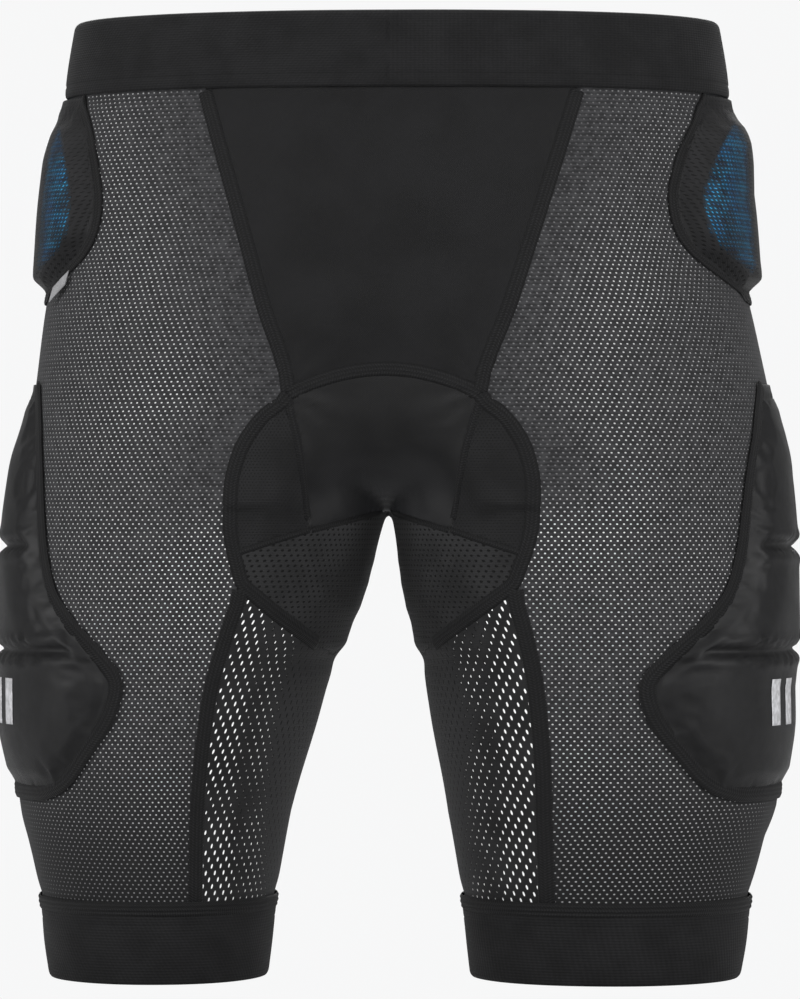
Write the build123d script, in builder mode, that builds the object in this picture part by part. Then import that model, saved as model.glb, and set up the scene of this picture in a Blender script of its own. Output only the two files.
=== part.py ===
from build123d import *
import math
import os

# Padded impact shorts, men's size L, as worn: one garment standing on its two leg hems.
# Frame: +Z up, the front of the shorts faces -Y, +X is the wearer's left.
# Origin: on the hem plane, midway between the legs and midway front to back. Millimetres.
# Every soft panel is a thin closed solid that follows one body form, given by the tables.
# A "lift" is a distance outwards from that form; a negative lift lies inside it.
# A side is 1 for the wearer's left and -1 for the right.

os.makedirs("parts", exist_ok=True)

# ---------------------------------------------------------------- driving dimensions
TOTAL_HEIGHT = 500.0        # hem plane to the top of the waistband
WAISTBAND_HEIGHT = 40.0
CUFF_HEIGHT = 40.0
CROTCH_HEIGHT = 246.0       # hem plane to the crotch point
FABRIC = 1.0                # stretch knit, one layer
BAND = 1.6                  # woven elastic of the waistband and the cuffs
GAP = 0.25                  # working gap between the panels and the elastic bands
SEAM_GAP = 1.5              # half of the gap between two panels
CENTRE_SHIFT = -7.382       # puts the middle of the front-to-back extent on Y = 0

WAIST_LOW = TOTAL_HEIGHT - WAISTBAND_HEIGHT
PANEL_LOW = CUFF_HEIGHT + GAP
PANEL_TOP = WAIST_LOW - GAP
INNER_LEG_TOP = 199.0       # where the inner leg mesh meets the inner thigh panel
CHAMOIS_TOP = 313.0         # top of the chamois seam on the front
LEG_BACK_TOP = 300.0        # top of the back leg seam

# ---------------------------------------------------------------- body form
# height, half width outside, inner edge of the leg, front y, back y, leg axis x, exponent
FORM = [
    (-10, 181.0, 54.5, -79.0, 64.0, 118.0, 2.10),
    (0, 182.0, 54.0, -80.0, 66.0, 118.0, 2.10),
    (20, 185.0, 52.0, -82.0, 69.0, 118.0, 2.10),
    (40, 187.5, 49.5, -84.0, 72.0, 118.5, 2.10),
    (70, 194.5, 44.5, -88.0, 78.0, 119.0, 2.10),
    (86, 198.6, 41.5, -90.5, 81.5, 119.5, 2.10),
    (100, 200.2, 38.5, -93.0, 85.0, 119.0, 2.12),
    (130, 201.0, 31.0, -98.0, 91.0, 116.0, 2.16),
    (165, 200.5, 23.0, -103.0, 99.0, 112.0, 2.20),
    (200, 200.0, 10.5, -107.0, 108.0, 106.0, 2.25),
    (230, 199.0, 4.5, -109.0, 114.0, 101.0, 2.28),
    (246, 198.0, 1.5, -110.0, 117.0, 99.0, 2.30),
    (265, 196.5, 1.5, -111.0, 119.0, 94.0, 2.32),
    (290, 193.5, 1.5, -112.0, 121.0, 84.0, 2.34),
    (315, 190.5, 1.5, -113.0, 121.5, 72.0, 2.34),
    (350, 186.0, 1.5, -113.0, 120.0, 54.0, 2.32),
    (370, 182.0, 1.5, -112.0, 118.0, 42.0, 2.30),
    (400, 178.5, 1.5, -111.0, 114.0, 26.0, 2.28),
    (430, 176.0, 1.5, -108.5, 108.0, 14.0, 2.26),
    (460, 174.5, 1.5, -105.0, 102.0, 6.0, 2.24),
    (500, 169.0, 1.5, -102.0, 98.0, 4.0, 2.22),
    (510, 168.0, 1.5, -101.0, 97.0, 4.0, 2.22),
]
# valley on the centre line, above the crotch: height, depth in front, depth at the back
VALLEY = [
    (246, 84, 100), (255, 56, 76), (265, 36, 58), (280, 18, 38), (300, 8, 22),
    (325, 3, 6), (350, 0, 1.5), (380, 0, 0), (420, 0, 0), (510, 0, 0),
]
VALLEY_HALF_WIDTH = 58.0

# ---------------------------------------------------------------- seam lines: height, x
FRONT_SEAM = [(CHAMOIS_TOP, 51.0), (350, 62.0), (400, 77.0), (430, 86.0), (458, 95.0)]
BACK_SEAM = [(LEG_BACK_TOP, 58.0), (350, 66.0), (400, 76.0), (458, 88.0)]
CHAMOIS_EDGE = [
    (205, 65.0), (225, 73.0), (250, 77.0), (266, 73.5), (285, 64.5), (300, 57.0),
    (CHAMOIS_TOP, 51.0),
]
LEG_SEAM_FRONT = [(40, 90.0), (100, 87.0), (150, 80.0), (INNER_LEG_TOP, 65.0)]
LEG_SEAM_BACK = [(40, 86.0), (100, 82.0), (150, 74.0), (205, 62.0), (LEG_BACK_TOP, 58.0)]

# ---------------------------------------------------------------- crotch
GUSSET_HALF_WIDTH = 34.0
WING_INNER_X = GUSSET_HALF_WIDTH + 2.0
CHAMOIS_HALF_WIDTH = GUSSET_HALF_WIDTH - 2.0
CHAMOIS_THICK = 8.0
CHAMOIS_LOW = FABRIC + 0.6  # underside of the pad, measured inwards from the crotch line
# side view of the crotch line, front to back: y, z, then the y and z moves per unit inwards
CROTCH_LINE = [
    (-110.0, 312.0, 1.0, 0.0), (-101.0, 290.0, 1.0, 0.0), (-85.0, 268.0, 0.8, 0.6),
    (-50.0, 251.5, 0.3, 0.95), (0.0, 246.6, 0.0, 1.0), (52.0, 253.0, -0.3, 0.95),
    (86.0, 272.0, -0.8, 0.6), (106.0, 299.0, -1.0, 0.0),
]

# ---------------------------------------------------------------- tailbone pad on the back
TAIL_HEIGHT = 367.0         # height of the middle of the pad
TAIL_LEAN = 0.11            # z over y of the pad's outward normal
TAIL_SEAT_Y = 111.3         # the plane of the pad at its middle height
# corners of the outline in the plane of the pad, from its middle
TAIL_OUTLINE = [
    (-20.0, -44.0), (20.0, -44.0), (40.0, 18.0), (36.0, 44.0), (-36.0, 44.0), (-40.0, 18.0),
]
TAIL_CORNER = 7.0
TAIL_THICK = 4.676          # cover included
TAIL_TAPER = 32.0           # slope of the edge of the moulded pad, in degrees
TAIL_COVER = 0.8
TAIL_FOAM_GAP = 0.4         # between the top of the foam and the cover
TAIL_FOAM_INSET = 2.4       # the three insets are measured inwards from the outline
TAIL_COVER_INSET = 0.4
TAIL_CAVITY_INSET = 1.4

# ---------------------------------------------------------------- pads at the sides
# rise tables: height, lift of the middle of the pad; edge tables: height, x of the edge
HIP_RISE = [
    (353, 2.6), (360, 7.0), (372, 10.6), (400, 11.6), (425, 10.6), (440, 9.0), (450, 5.0),
    (454, 2.8),
]
HIP_EDGE = [
    (353, 172.0), (360, 168.0), (369, 163.0), (380, 156.0), (400, 150.0), (418, 150.5),
    (437, 153.0), (454, 160.0),
]
THIGH_RISE = [
    (97, 3.0), (104, 5.5), (118, 8.0), (140, 9.6), (200, 10.2), (235, 10.0), (265, 8.8),
    (285, 6.0), (300, 4.2), (310, 2.6),
]
THIGH_EDGE = [
    (97, 184.0), (104, 168.0), (120, 155.0), (140, 141.0), (155, 137.0), (172, 150.0),
    (186, 164.0), (204, 176.0), (230, 181.0), (265, 183.0), (291, 184.0), (310, 185.0),
]
LOW_GROOVE, HIGH_GROOVE = 172.0, 226.0      # flex grooves across each thigh pad
GROOVE_HALF = 2.5
PAD_SIDE_MARGIN = 2.0       # a pad edge stays at least this far in from the outside in x
FACE_EDGE_THICK = 0.8       # outer face of a pad at its edges
FACE_TOP_LIFTS = (-1.1, -0.1)               # its two surfaces in the middle, from the rise


# ---------------------------------------------------------------- reading the form
def table(rows, z, column=1):
    """Smooth (monotone cubic) reading of one column of a table at height z."""
    heights = [row[0] for row in rows]
    values = [row[column] for row in rows]
    last = len(rows) - 1
    if z <= heights[0]:
        return values[0]
    if z >= heights[-1]:
        return values[-1]
    i = max(k for k in range(last) if heights[k] <= z)
    step = [heights[k + 1] - heights[k] for k in range(last)]
    slope = [(values[k + 1] - values[k]) / step[k] for k in range(last)]

    def tangent(k):
        if k == 0:
            return slope[0]
        if k == last:
            return slope[-1]
        if slope[k - 1] * slope[k] <= 0:
            return 0.0
        return 2 * slope[k - 1] * slope[k] / (slope[k - 1] + slope[k])

    t = (z - heights[i]) / step[i]
    return ((2 * t**3 - 3 * t**2 + 1) * values[i]
            + (t**3 - 2 * t**2 + t) * step[i] * tangent(i)
            + (-2 * t**3 + 3 * t**2) * values[i + 1]
            + (t**3 - t**2) * step[i] * tangent(i + 1))


def form_point(z, phi):
    """Point of the left half of the form at height z.

    phi is in degrees: 0 outside, 90 front, 180 inside, -90 back.
    """
    outside, inner, front, back, axis, exponent = (table(FORM, z, k) for k in range(1, 7))
    middle = 0.5 * (front + back)
    cosine, sine = math.cos(math.radians(phi)), math.sin(math.radians(phi))
    in_front = sine >= 0
    if cosine >= 0 or z <= CROTCH_HEIGHT:
        # superellipse round the leg axis
        reach = (outside - axis) if cosine >= 0 else (axis - inner)
        depth = (middle - front) if in_front else (back - middle)
        x = axis + reach * math.copysign(abs(cosine) ** (2 / exponent), cosine)
        y = middle - depth * math.copysign(abs(sine) ** (2 / exponent), sine)
    else:
        # above the crotch: flat from the leg axis to the centre line, less the valley
        x = axis * (1 - (abs(phi) - 90) / 90)
        y = front if in_front else back
        if x < VALLEY_HALF_WIDTH:
            deep = table(VALLEY, z, 1 if in_front else 2)
            dip = deep * 0.5 * (1 + math.cos(math.pi * x / VALLEY_HALF_WIDTH))
            y += dip if in_front else -dip
    return x, y + CENTRE_SHIFT


def skin(z, phi, lift, side=1):
    """form_point moved outwards in plan by lift, on the given side."""
    half_span = 0.6         # degrees either side, for the direction of the form
    before_x, before_y = form_point(z, phi - half_span)
    after_x, after_y = form_point(z, phi + half_span)
    x, y = form_point(z, phi)
    along_x, along_y = after_x - before_x, after_y - before_y
    size = math.hypot(along_x, along_y) or 1.0
    return side * (x - along_y / size * lift), y + along_x / size * lift


def phi_at_x(z, x, front=True):
    """The angle at which the form crosses x on its front or its back, at height z."""
    low, high = 0.0, 180.0
    for _ in range(60):
        half = 0.5 * (low + high)
        if form_point(z, half if front else -half)[0] > x:
            low = half
        else:
            high = half
    angle = 0.5 * (low + high)
    return angle if front else -angle


def front_edge(z):
    """x of the seam along the front edge of the side mesh."""
    if z <= INNER_LEG_TOP:
        return table(LEG_SEAM_FRONT, z)
    return table(CHAMOIS_EDGE if z <= CHAMOIS_TOP else FRONT_SEAM, z)


def back_edge(z):
    """x of the seam along the back edge of the side mesh."""
    return table(LEG_SEAM_BACK if z <= LEG_BACK_TOP else BACK_SEAM, z)


# ---------------------------------------------------------------- rows of points
def arc_points(z, phi_a, phi_b, lift, side, count):
    """Points along the form between two angles.

    lift is one number, or a pair: at both ends, in the middle.
    """
    end, middle = lift if isinstance(lift, tuple) else (lift, lift)
    points = []
    for k in range(count):
        t = k / (count - 1)
        swell = 1 - abs(2 * t - 1) ** 6
        points.append(skin(z, phi_a + (phi_b - phi_a) * t, end + (middle - end) * swell, side))
    return points


def waist_loop(z, lift):
    """Points round the whole waist: front centre, left, back centre, then the mirror image."""
    half_count = 14
    centre_clear = 9        # points this close to the centre line are left out
    side_points = [skin(z, 90 * (1 - 2 * k / half_count), lift) for k in range(1, half_count)]
    y_front = form_point(z, 179.9)[1] - lift
    y_back = form_point(z, -179.9)[1] + lift
    half = [(0.0, y_front)] + [p for p in side_points if p[0] > centre_clear] + [(0.0, y_back)]
    return half + [(-x, y) for x, y in reversed(half[1:-1])]


def leg_loop(z, lift, side):
    """Points round one leg."""
    count = 20
    return [skin(z, -180 + 360 * k / count, lift, side) for k in range(count)]


def centre_row(z, angles, lift, front):
    """Points across the centre line, from the left edge to the right edge."""
    half = [skin(z, angle, lift) for angle in angles]
    middle = (0, skin(z, 180 if front else -180, lift)[1])
    return half + [middle] + [(-x, y) for x, y in reversed(half)]


# ---------------------------------------------------------------- profiles
def thin_section(z, high_points, low_points):
    """A thin closed profile between an outer and an inner row of points."""
    with BuildSketch(Plane.XY.offset(z)) as profile:
        with BuildLine():
            outer = Spline(*high_points)
            inner = Spline(*low_points)
            Line(outer @ 0, inner @ 0)
            Line(outer @ 1, inner @ 1)
        make_face()
    return profile.sketch


def loop_section(z, points):
    """A filled profile inside a closed loop of points."""
    with BuildSketch(Plane.XY.offset(z)) as profile:
        with BuildLine():
            Spline(*points, periodic=True)
        make_face()
    return profile.sketch


def strip_section(z, phi_a, phi_b, low, high, side, count):
    """A thin profile between two angles, from lift low to lift high."""
    return thin_section(z, arc_points(z, phi_a, phi_b, high, side, count),
                        arc_points(z, phi_a, phi_b, low, side, count))


def centre_section(z, edge_x, front):
    """One layer of fabric across the centre line, from edge_x to -edge_x."""
    count = 6
    angles = [phi_at_x(z, edge_x * (1 - k / count), front) for k in range(count)]
    return thin_section(z, centre_row(z, angles, 0.0, front),
                        centre_row(z, angles, -FABRIC, front))


def pad_section(z, edge_table, trim, low, high, side, count=9):
    """A pad profile round the outside, from its front edge to the same x on the back."""
    x = min(table(edge_table, z) + trim, form_point(z, 0)[0] - PAD_SIDE_MARGIN)
    return strip_section(z, phi_at_x(z, x), phi_at_x(z, x, front=False), low, high, side, count)


# ---------------------------------------------------------------- solids
def skin_over(sections, mode=Mode.ADD):
    """A solid through the profiles, straight from each one to the next."""
    loft(sections, ruled=True, clean=False, mode=mode)


def save(shape, name):
    shape.label = name
    export_step(shape, f"parts/{name}.step")


def tube(name, loop, heights, low, high):
    """A band between two lifts; loop(z, lift) gives the points round it."""
    with BuildPart() as piece:
        skin_over([loop_section(z, loop(z, high)) for z in heights])
        skin_over([loop_section(z, loop(z, low)) for z in heights], Mode.SUBTRACT)
    save(piece.part, name)


def centre_panel(name, seam, heights, front):
    """A panel across the centre line, between the seams on its two sides."""
    with BuildPart() as piece:
        skin_over([centre_section(z, table(seam, z) - SEAM_GAP, front) for z in heights])
    save(piece.part, name)


def crotch_line(inwards):
    """Side view of the crotch line as (y, z), moved inwards."""
    return [(y + CENTRE_SHIFT + y_move * inwards, z + z_move * inwards)
            for y, z, y_move, z_move in CROTCH_LINE]


def crotch_strip(name, half_width, low, high):
    """A strip along the crotch line, between two distances inwards from it."""
    with BuildPart() as piece:
        with BuildSketch(Plane.YZ.offset(-half_width)):
            with BuildLine():
                outside = Spline(*crotch_line(low))
                inside = Spline(*crotch_line(high))
                Line(outside @ 0, inside @ 0)
                Line(outside @ 1, inside @ 1)
            make_face()
        extrude(amount=2 * half_width)
    save(piece.part, name)


def tailbone_piece(name, *layers):
    """Tapered blocks on the tailbone outline; each layer is (inset, thickness, mode)."""
    seat = Plane(origin=(0, TAIL_SEAT_Y, TAIL_HEIGHT), x_dir=(-1, 0, 0), z_dir=(0, 1, TAIL_LEAN))
    with BuildPart() as piece:
        for inset, thickness, mode in layers:
            with BuildSketch(seat) as outline:
                with BuildLine():
                    Polyline(*TAIL_OUTLINE, close=True)
                make_face()
                fillet(outline.vertices(), TAIL_CORNER)
                offset(amount=-inset)
            extrude(amount=thickness, taper=TAIL_TAPER, mode=mode)
    save(piece.part, name)


# ---------------------------------------------------------------- pads of one side
def pad_face(name, edge_table, rise_table, edge_lift, heights, side, count):
    """The bulged outer face over a pad."""
    low_top, high_top = FACE_TOP_LIFTS
    with BuildPart() as piece:
        skin_over([pad_section(z, edge_table, 0.0,
                               (edge_lift, table(rise_table, z) + low_top),
                               (edge_lift + FACE_EDGE_THICK, table(rise_table, z) + high_top),
                               side, count)
                   for z in heights])
    save(piece.part, name)


def hip_armor(tag, side):
    """Removable hip armour, a curved plate of energy-absorbing foam."""
    with BuildPart() as piece:
        skin_over([pad_section(z, HIP_EDGE, 8.0, 1.0, (2.6, table(HIP_RISE, z) - 1.9), side)
                   for z in (363, 372, 385, 400, 425, 441)])
    save(piece.part, f"hip_armor_{tag}")


def hip_pocket_lining(tag, side):
    """The inner leaf behind the armour, open in the middle where the armour goes in."""
    with BuildPart() as piece:
        skin_over([pad_section(z, HIP_EDGE, -3.0, -3.6, -2.8, side)
                   for z in (351, 362, 372, 385, 400, 425, 456)])
        skin_over([pad_section(z, HIP_EDGE, 2.0, -6.0, 0.0, side, 7)
                   for z in (359.5, 372, 385, 400, 425, 446)], Mode.SUBTRACT)
    save(piece.part, f"hip_pocket_lining_{tag}")


def thigh_pad_foam(tag, side):
    """Three thick blocks on one thin web, so that the pad bends at the two grooves."""
    web_heights = (104, 112, 125, 140, 155, 172, 186, 204, 230, 265, 303)
    block_heights = (
        (107, 112, 125, 140, 155, LOW_GROOVE - GROOVE_HALF),
        (LOW_GROOVE + GROOVE_HALF, 186, 204, HIGH_GROOVE - GROOVE_HALF),
        (HIGH_GROOVE + GROOVE_HALF, 250, 265, 285, 295),
    )
    with BuildPart() as piece:
        skin_over([pad_section(z, THIGH_EDGE, 5.0, 1.0, 2.0, side) for z in web_heights])
        for heights in block_heights:
            skin_over([pad_section(z, THIGH_EDGE, 9.0, 1.4, (2.4, table(THIGH_RISE, z) - 2.2), side)
                       for z in heights])
    save(piece.part, f"thigh_pad_foam_{tag}")


# ---------------------------------------------------------------- panels of one side
def side_mesh(tag, side):
    """From the front seam round the hip to the back seam, with a window behind the armour."""
    heights = (PANEL_LOW, 70, 100, 130, 165, INNER_LEG_TOP, 225, 250, 266, 285, 300,
               CHAMOIS_TOP, 350, 400, PANEL_TOP)
    with BuildPart() as piece:
        skin_over([strip_section(z, phi_at_x(z, front_edge(z) + SEAM_GAP),
                                 phi_at_x(z, back_edge(z) + SEAM_GAP, front=False),
                                 -FABRIC, 0.0, side, 15)
                   for z in heights])
        skin_over([pad_section(z, HIP_EDGE, 3.5, -4.0, 4.0, side, 7)
                   for z in (358.5, 372, 385, 400, 425, 448)], Mode.SUBTRACT)
    save(piece.part, f"side_mesh_{tag}")


def wing(name, edge, front, heights, side):
    """A panel between the side mesh and the gusset, on the front or the back."""
    with BuildPart() as piece:
        skin_over([strip_section(z, phi_at_x(z, edge(z) - SEAM_GAP, front),
                                 phi_at_x(z, WING_INNER_X, front), -FABRIC, 0.0, side, 7)
                   for z in heights])
    save(piece.part, name)


def inner_leg_panel(name, heights, side):
    """A panel from the front leg seam round the inside of the thigh to the back leg seam."""
    with BuildPart() as piece:
        skin_over([strip_section(z, phi_at_x(z, front_edge(z) - SEAM_GAP),
                                 360 + phi_at_x(z, back_edge(z) - SEAM_GAP, front=False),
                                 -FABRIC, 0.0, side, 11)
                   for z in heights])
    save(piece.part, name)


def fabric_tag():
    """Small blank tag on the front, just below the wearer's right hip pocket."""
    with BuildPart() as piece:
        skin_over([strip_section(z, phi_at_x(z, 178.0), phi_at_x(z, 172.0), 0.3, 1.1, -1, 5)
                   for z in (338.0, 351.0)])
    save(piece.part, "fabric_tag")


# ---------------------------------------------------------------- the pieces on the centre line
WAIST_MIDDLE = WAIST_LOW + WAISTBAND_HEIGHT / 2
tube("waistband", waist_loop, (WAIST_LOW, WAIST_MIDDLE, TOTAL_HEIGHT), low=0.2, high=0.2 + BAND)
tube("waistband_lining", waist_loop, (WAIST_LOW + 1, WAIST_MIDDLE, TOTAL_HEIGHT - 1),
     low=-1.2, high=-0.1)

centre_panel("front_center_panel", FRONT_SEAM, (315, 350, 400, PANEL_TOP), front=True)
centre_panel("back_center_panel", BACK_SEAM, (302, 320, 345, 370, 400, PANEL_TOP), front=False)

crotch_strip("crotch_gusset", GUSSET_HALF_WIDTH, low=0.0, high=FABRIC)
crotch_strip("chamois_pad", CHAMOIS_HALF_WIDTH, low=CHAMOIS_LOW, high=CHAMOIS_LOW + CHAMOIS_THICK)

tailbone_piece("tailbone_pad_foam",
               (TAIL_FOAM_INSET, TAIL_THICK - TAIL_COVER - TAIL_FOAM_GAP, Mode.ADD))
tailbone_piece("tailbone_pad_cover",
               (TAIL_COVER_INSET, TAIL_THICK, Mode.ADD),
               (TAIL_CAVITY_INSET, TAIL_THICK - TAIL_COVER, Mode.SUBTRACT))


# ---------------------------------------------------------------- the pieces of each side
def build_side(tag, side):
    def leg(z, lift):
        return leg_loop(z, lift, side)

    hip_armor(tag, side)
    # outer face of the pouch that holds the armour
    pad_face(f"hip_pocket_{tag}", HIP_EDGE, HIP_RISE, 1.4,
             (354, 358, 362, 372, 385, 400, 425, 441, 449, 454), side, 11)
    hip_pocket_lining(tag, side)
    thigh_pad_foam(tag, side)
    # smooth stretch face stitched over the foam
    pad_face(f"thigh_pad_cover_{tag}", THIGH_EDGE, THIGH_RISE, 1.1,
             (97, 104, 112, 125, 140, 155, 172, 186, 204, 230, 265, 285, 300, 309), side, 9)

    side_mesh(tag, side)
    wing(f"chamois_wing_{tag}", front_edge, True, (248, 254, 260, 266, 275, 285, 300, 311), side)
    wing(f"seat_wing_{tag}", back_edge, False, (250, 260, 270, 285, 298), side)
    inner_leg_panel(f"inner_leg_mesh_{tag}",
                    (PANEL_LOW, 70, 100, 130, 165, INNER_LEG_TOP - 0.5), side)
    inner_leg_panel(f"inner_thigh_panel_{tag}", (INNER_LEG_TOP + 0.5, 212, 225, 242), side)

    # a wide elastic band, and the silicone grip inside it
    tube(f"leg_cuff_{tag}", leg, (0, CUFF_HEIGHT / 2, CUFF_HEIGHT), low=-0.7, high=BAND - 0.7)
    tube(f"cuff_gripper_{tag}", leg, (8, 30), low=-1.6, high=-0.8)


build_side("left", 1)
build_side("right", -1)
fabric_tag()
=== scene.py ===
import math

import bpy
import numpy as np
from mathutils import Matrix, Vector
from mathutils.bvhtree import BVHTree


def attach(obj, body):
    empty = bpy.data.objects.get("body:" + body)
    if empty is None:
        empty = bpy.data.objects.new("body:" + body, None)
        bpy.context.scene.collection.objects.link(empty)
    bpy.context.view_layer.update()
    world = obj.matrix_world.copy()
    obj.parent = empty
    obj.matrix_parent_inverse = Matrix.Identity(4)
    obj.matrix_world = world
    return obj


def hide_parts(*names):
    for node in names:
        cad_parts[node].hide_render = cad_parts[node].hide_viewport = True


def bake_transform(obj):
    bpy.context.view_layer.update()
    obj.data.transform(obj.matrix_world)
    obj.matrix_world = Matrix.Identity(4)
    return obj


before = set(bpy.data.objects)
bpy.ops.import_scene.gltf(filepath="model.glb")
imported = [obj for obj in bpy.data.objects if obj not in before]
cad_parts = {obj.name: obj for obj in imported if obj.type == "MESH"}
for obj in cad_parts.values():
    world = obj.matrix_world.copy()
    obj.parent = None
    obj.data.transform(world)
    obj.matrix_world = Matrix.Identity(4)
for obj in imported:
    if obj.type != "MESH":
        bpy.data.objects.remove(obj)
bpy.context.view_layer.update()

# ------------------------------------------------------------------ body form (mm), the same tables as the CAD source
SHIFT = -7.382
FORM = np.array([
    (-10, 181.0, 54.5, -79.0, 64.0, 118.0, 2.10), (0, 182.0, 54.0, -80.0, 66.0, 118.0, 2.10),
    (20, 185.0, 52.0, -82.0, 69.0, 118.0, 2.10), (40, 187.5, 49.5, -84.0, 72.0, 118.5, 2.10),
    (70, 194.5, 44.5, -88.0, 78.0, 119.0, 2.10), (86, 198.6, 41.5, -90.5, 81.5, 119.5, 2.10),
    (100, 200.2, 38.5, -93.0, 85.0, 119.0, 2.12), (130, 201.0, 31.0, -98.0, 91.0, 116.0, 2.16),
    (165, 200.5, 23.0, -103.0, 99.0, 112.0, 2.20), (200, 200.0, 10.5, -107.0, 108.0, 106.0, 2.25),
    (230, 199.0, 4.5, -109.0, 114.0, 101.0, 2.28), (246, 198.0, 1.5, -110.0, 117.0, 99.0, 2.30),
    (265, 196.5, 1.5, -111.0, 119.0, 94.0, 2.32), (290, 193.5, 1.5, -112.0, 121.0, 84.0, 2.34),
    (315, 190.5, 1.5, -113.0, 121.5, 72.0, 2.34), (350, 186.0, 1.5, -113.0, 120.0, 54.0, 2.32),
    (370, 182.0, 1.5, -112.0, 118.0, 42.0, 2.30), (400, 178.5, 1.5, -111.0, 114.0, 26.0, 2.28),
    (430, 176.0, 1.5, -108.5, 108.0, 14.0, 2.26), (460, 174.5, 1.5, -105.0, 102.0, 6.0, 2.24),
    (500, 169.0, 1.5, -102.0, 98.0, 4.0, 2.22), (510, 168.0, 1.5, -101.0, 97.0, 4.0, 2.22)])
VALLEY = np.array([(246, 84, 100), (255, 56, 76), (265, 36, 58), (280, 18, 38), (300, 8, 22), (325, 3, 6),
                   (350, 0, 1.5), (380, 0, 0), (420, 0, 0), (510, 0, 0)], float)
VHW = 58.0
ZC = 246.0


def tab(rows, z, col):
    """Monotone cubic reading of a table column, for arrays."""
    rows = np.asarray(rows, float)
    z = np.clip(np.asarray(z, float), rows[0, 0], rows[-1, 0])
    zs, v = rows[:, 0], rows[:, col]
    h = np.diff(zs)
    d = np.diff(v) / h
    m = np.zeros(len(zs))
    m[0], m[-1] = d[0], d[-1]
    for k in range(1, len(zs) - 1):
        if d[k - 1] * d[k] > 0:
            m[k] = 2 * d[k - 1] * d[k] / (d[k - 1] + d[k])
    i = np.clip(np.searchsorted(zs, z, side="right") - 1, 0, len(zs) - 2)
    t = (z - zs[i]) / h[i]
    return ((2 * t**3 - 3 * t**2 + 1) * v[i] + (t**3 - 2 * t**2 + t) * h[i] * m[i]
            + (-2 * t**3 + 3 * t**2) * v[i + 1] + (t**3 - t**2) * h[i] * m[i + 1])


def section(z):
    z = np.asarray(z, float)
    out, inner, front, back, axis, n = (tab(FORM, z, k) for k in range(1, 7))
    return out, inner, front + SHIFT, back + SHIFT, axis, n


def bump(ax, z, which):
    deep = tab(VALLEY, z, which)
    return np.where(ax < VHW, deep * 0.5 * (1 + np.cos(np.pi * np.minimum(ax, VHW) / VHW)), 0.0)


def form_xy(z, phi):
    """Left half of the form. phi in degrees: 0 outside, 90 front, 180 inside, -90 back."""
    z, phi = np.broadcast_arrays(np.asarray(z, float), np.asarray(phi, float))
    out, inner, front, back, axis, n = section(z)
    mid = 0.5 * (front + back)
    c, s = np.cos(np.radians(phi)), np.sin(np.radians(phi))
    depth = np.where(s >= 0, mid - front, back - mid)
    reach = np.where(c >= 0, out - axis, axis - inner)
    x = axis + reach * np.sign(c) * np.abs(c) ** (2 / n)
    y = mid - depth * np.sign(s) * np.abs(s) ** (2 / n)
    high = (c < 0) & (z > ZC)
    t = (np.abs(phi) - 90) / 90
    xh = axis * (1 - t)
    yh = np.where(s >= 0, front + bump(np.abs(xh), z, 1), back - bump(np.abs(xh), z, 2))
    return np.where(high, xh, x), np.where(high, yh, y)


def phi_of(p):
    """The form angle of points (|x| used), for the chart coordinates."""
    x, y, z = np.abs(p[:, 0]), p[:, 1], p[:, 2]
    out, inner, front, back, axis, n = section(z)
    mid = 0.5 * (front + back)
    dx, dy = x - axis, y - mid
    a = np.where(dx >= 0, out - axis, axis - inner)
    b = np.where(dy < 0, mid - front, back - mid)
    cc = np.abs(dx / a) ** (n / 2) * np.sign(dx)
    ss = np.abs(dy / b) ** (n / 2) * np.sign(-dy)
    phi = np.degrees(np.arctan2(ss, cc))
    high = (dx < 0) & (z > ZC)
    ph = (90 + 90 * (1 - x / np.maximum(axis, 1))) * np.where(dy < 0, 1, -1)
    return np.where(high, ph, phi)


def onto_form(p):
    """Moves points along the plan ray onto the analytic form."""
    side = np.where(p[:, 0] < 0, -1.0, 1.0)
    x, y, z = np.abs(p[:, 0]), p[:, 1], p[:, 2]
    out, inner, front, back, axis, n = section(z)
    mid = 0.5 * (front + back)
    dx, dy = x - axis, y - mid
    a = np.where(dx >= 0, out - axis, axis - inner)
    b = np.where(dy < 0, mid - front, back - mid)
    t = np.maximum((np.abs(dx / a) ** n + np.abs(dy / b) ** n) ** (1 / n), 1e-6)
    xl, yl = axis + dx / t, mid + dy / t
    high = (dx < 0) & (z > ZC)
    yh = np.where(dy < 0, front + bump(x, z, 1), back - bump(x, z, 2))
    return np.stack([side * np.where(high, x, xl), np.where(high, yh, yl), z], 1)


def smooth01(t):
    t = np.clip(t, 0, 1)
    return t * t * (3 - 2 * t)


# arc length of the outer chart, from phi = 0, at each height
ZG = np.linspace(-10, 510, 105)
PG = np.linspace(-270, 270, 541)
_x, _y = form_xy(ZG[:, None], PG[None, :])
ARC = np.concatenate([np.zeros((len(ZG), 1)), np.cumsum(np.hypot(np.diff(_x, axis=1), np.diff(_y, axis=1)), axis=1)], 1)


def arc(z, phi):
    fz = np.clip((z - ZG[0]) / (ZG[1] - ZG[0]), 0, len(ZG) - 1.001)
    fp = np.clip((phi - PG[0]) / (PG[1] - PG[0]), 0, len(PG) - 1.001)
    i, j = fz.astype(int), fp.astype(int)
    a, b = fz - i, fp - j
    return (ARC[i, j] * (1 - a) * (1 - b) + ARC[i + 1, j] * a * (1 - b)
            + ARC[i, j + 1] * (1 - a) * b + ARC[i + 1, j + 1] * a * b)


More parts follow.
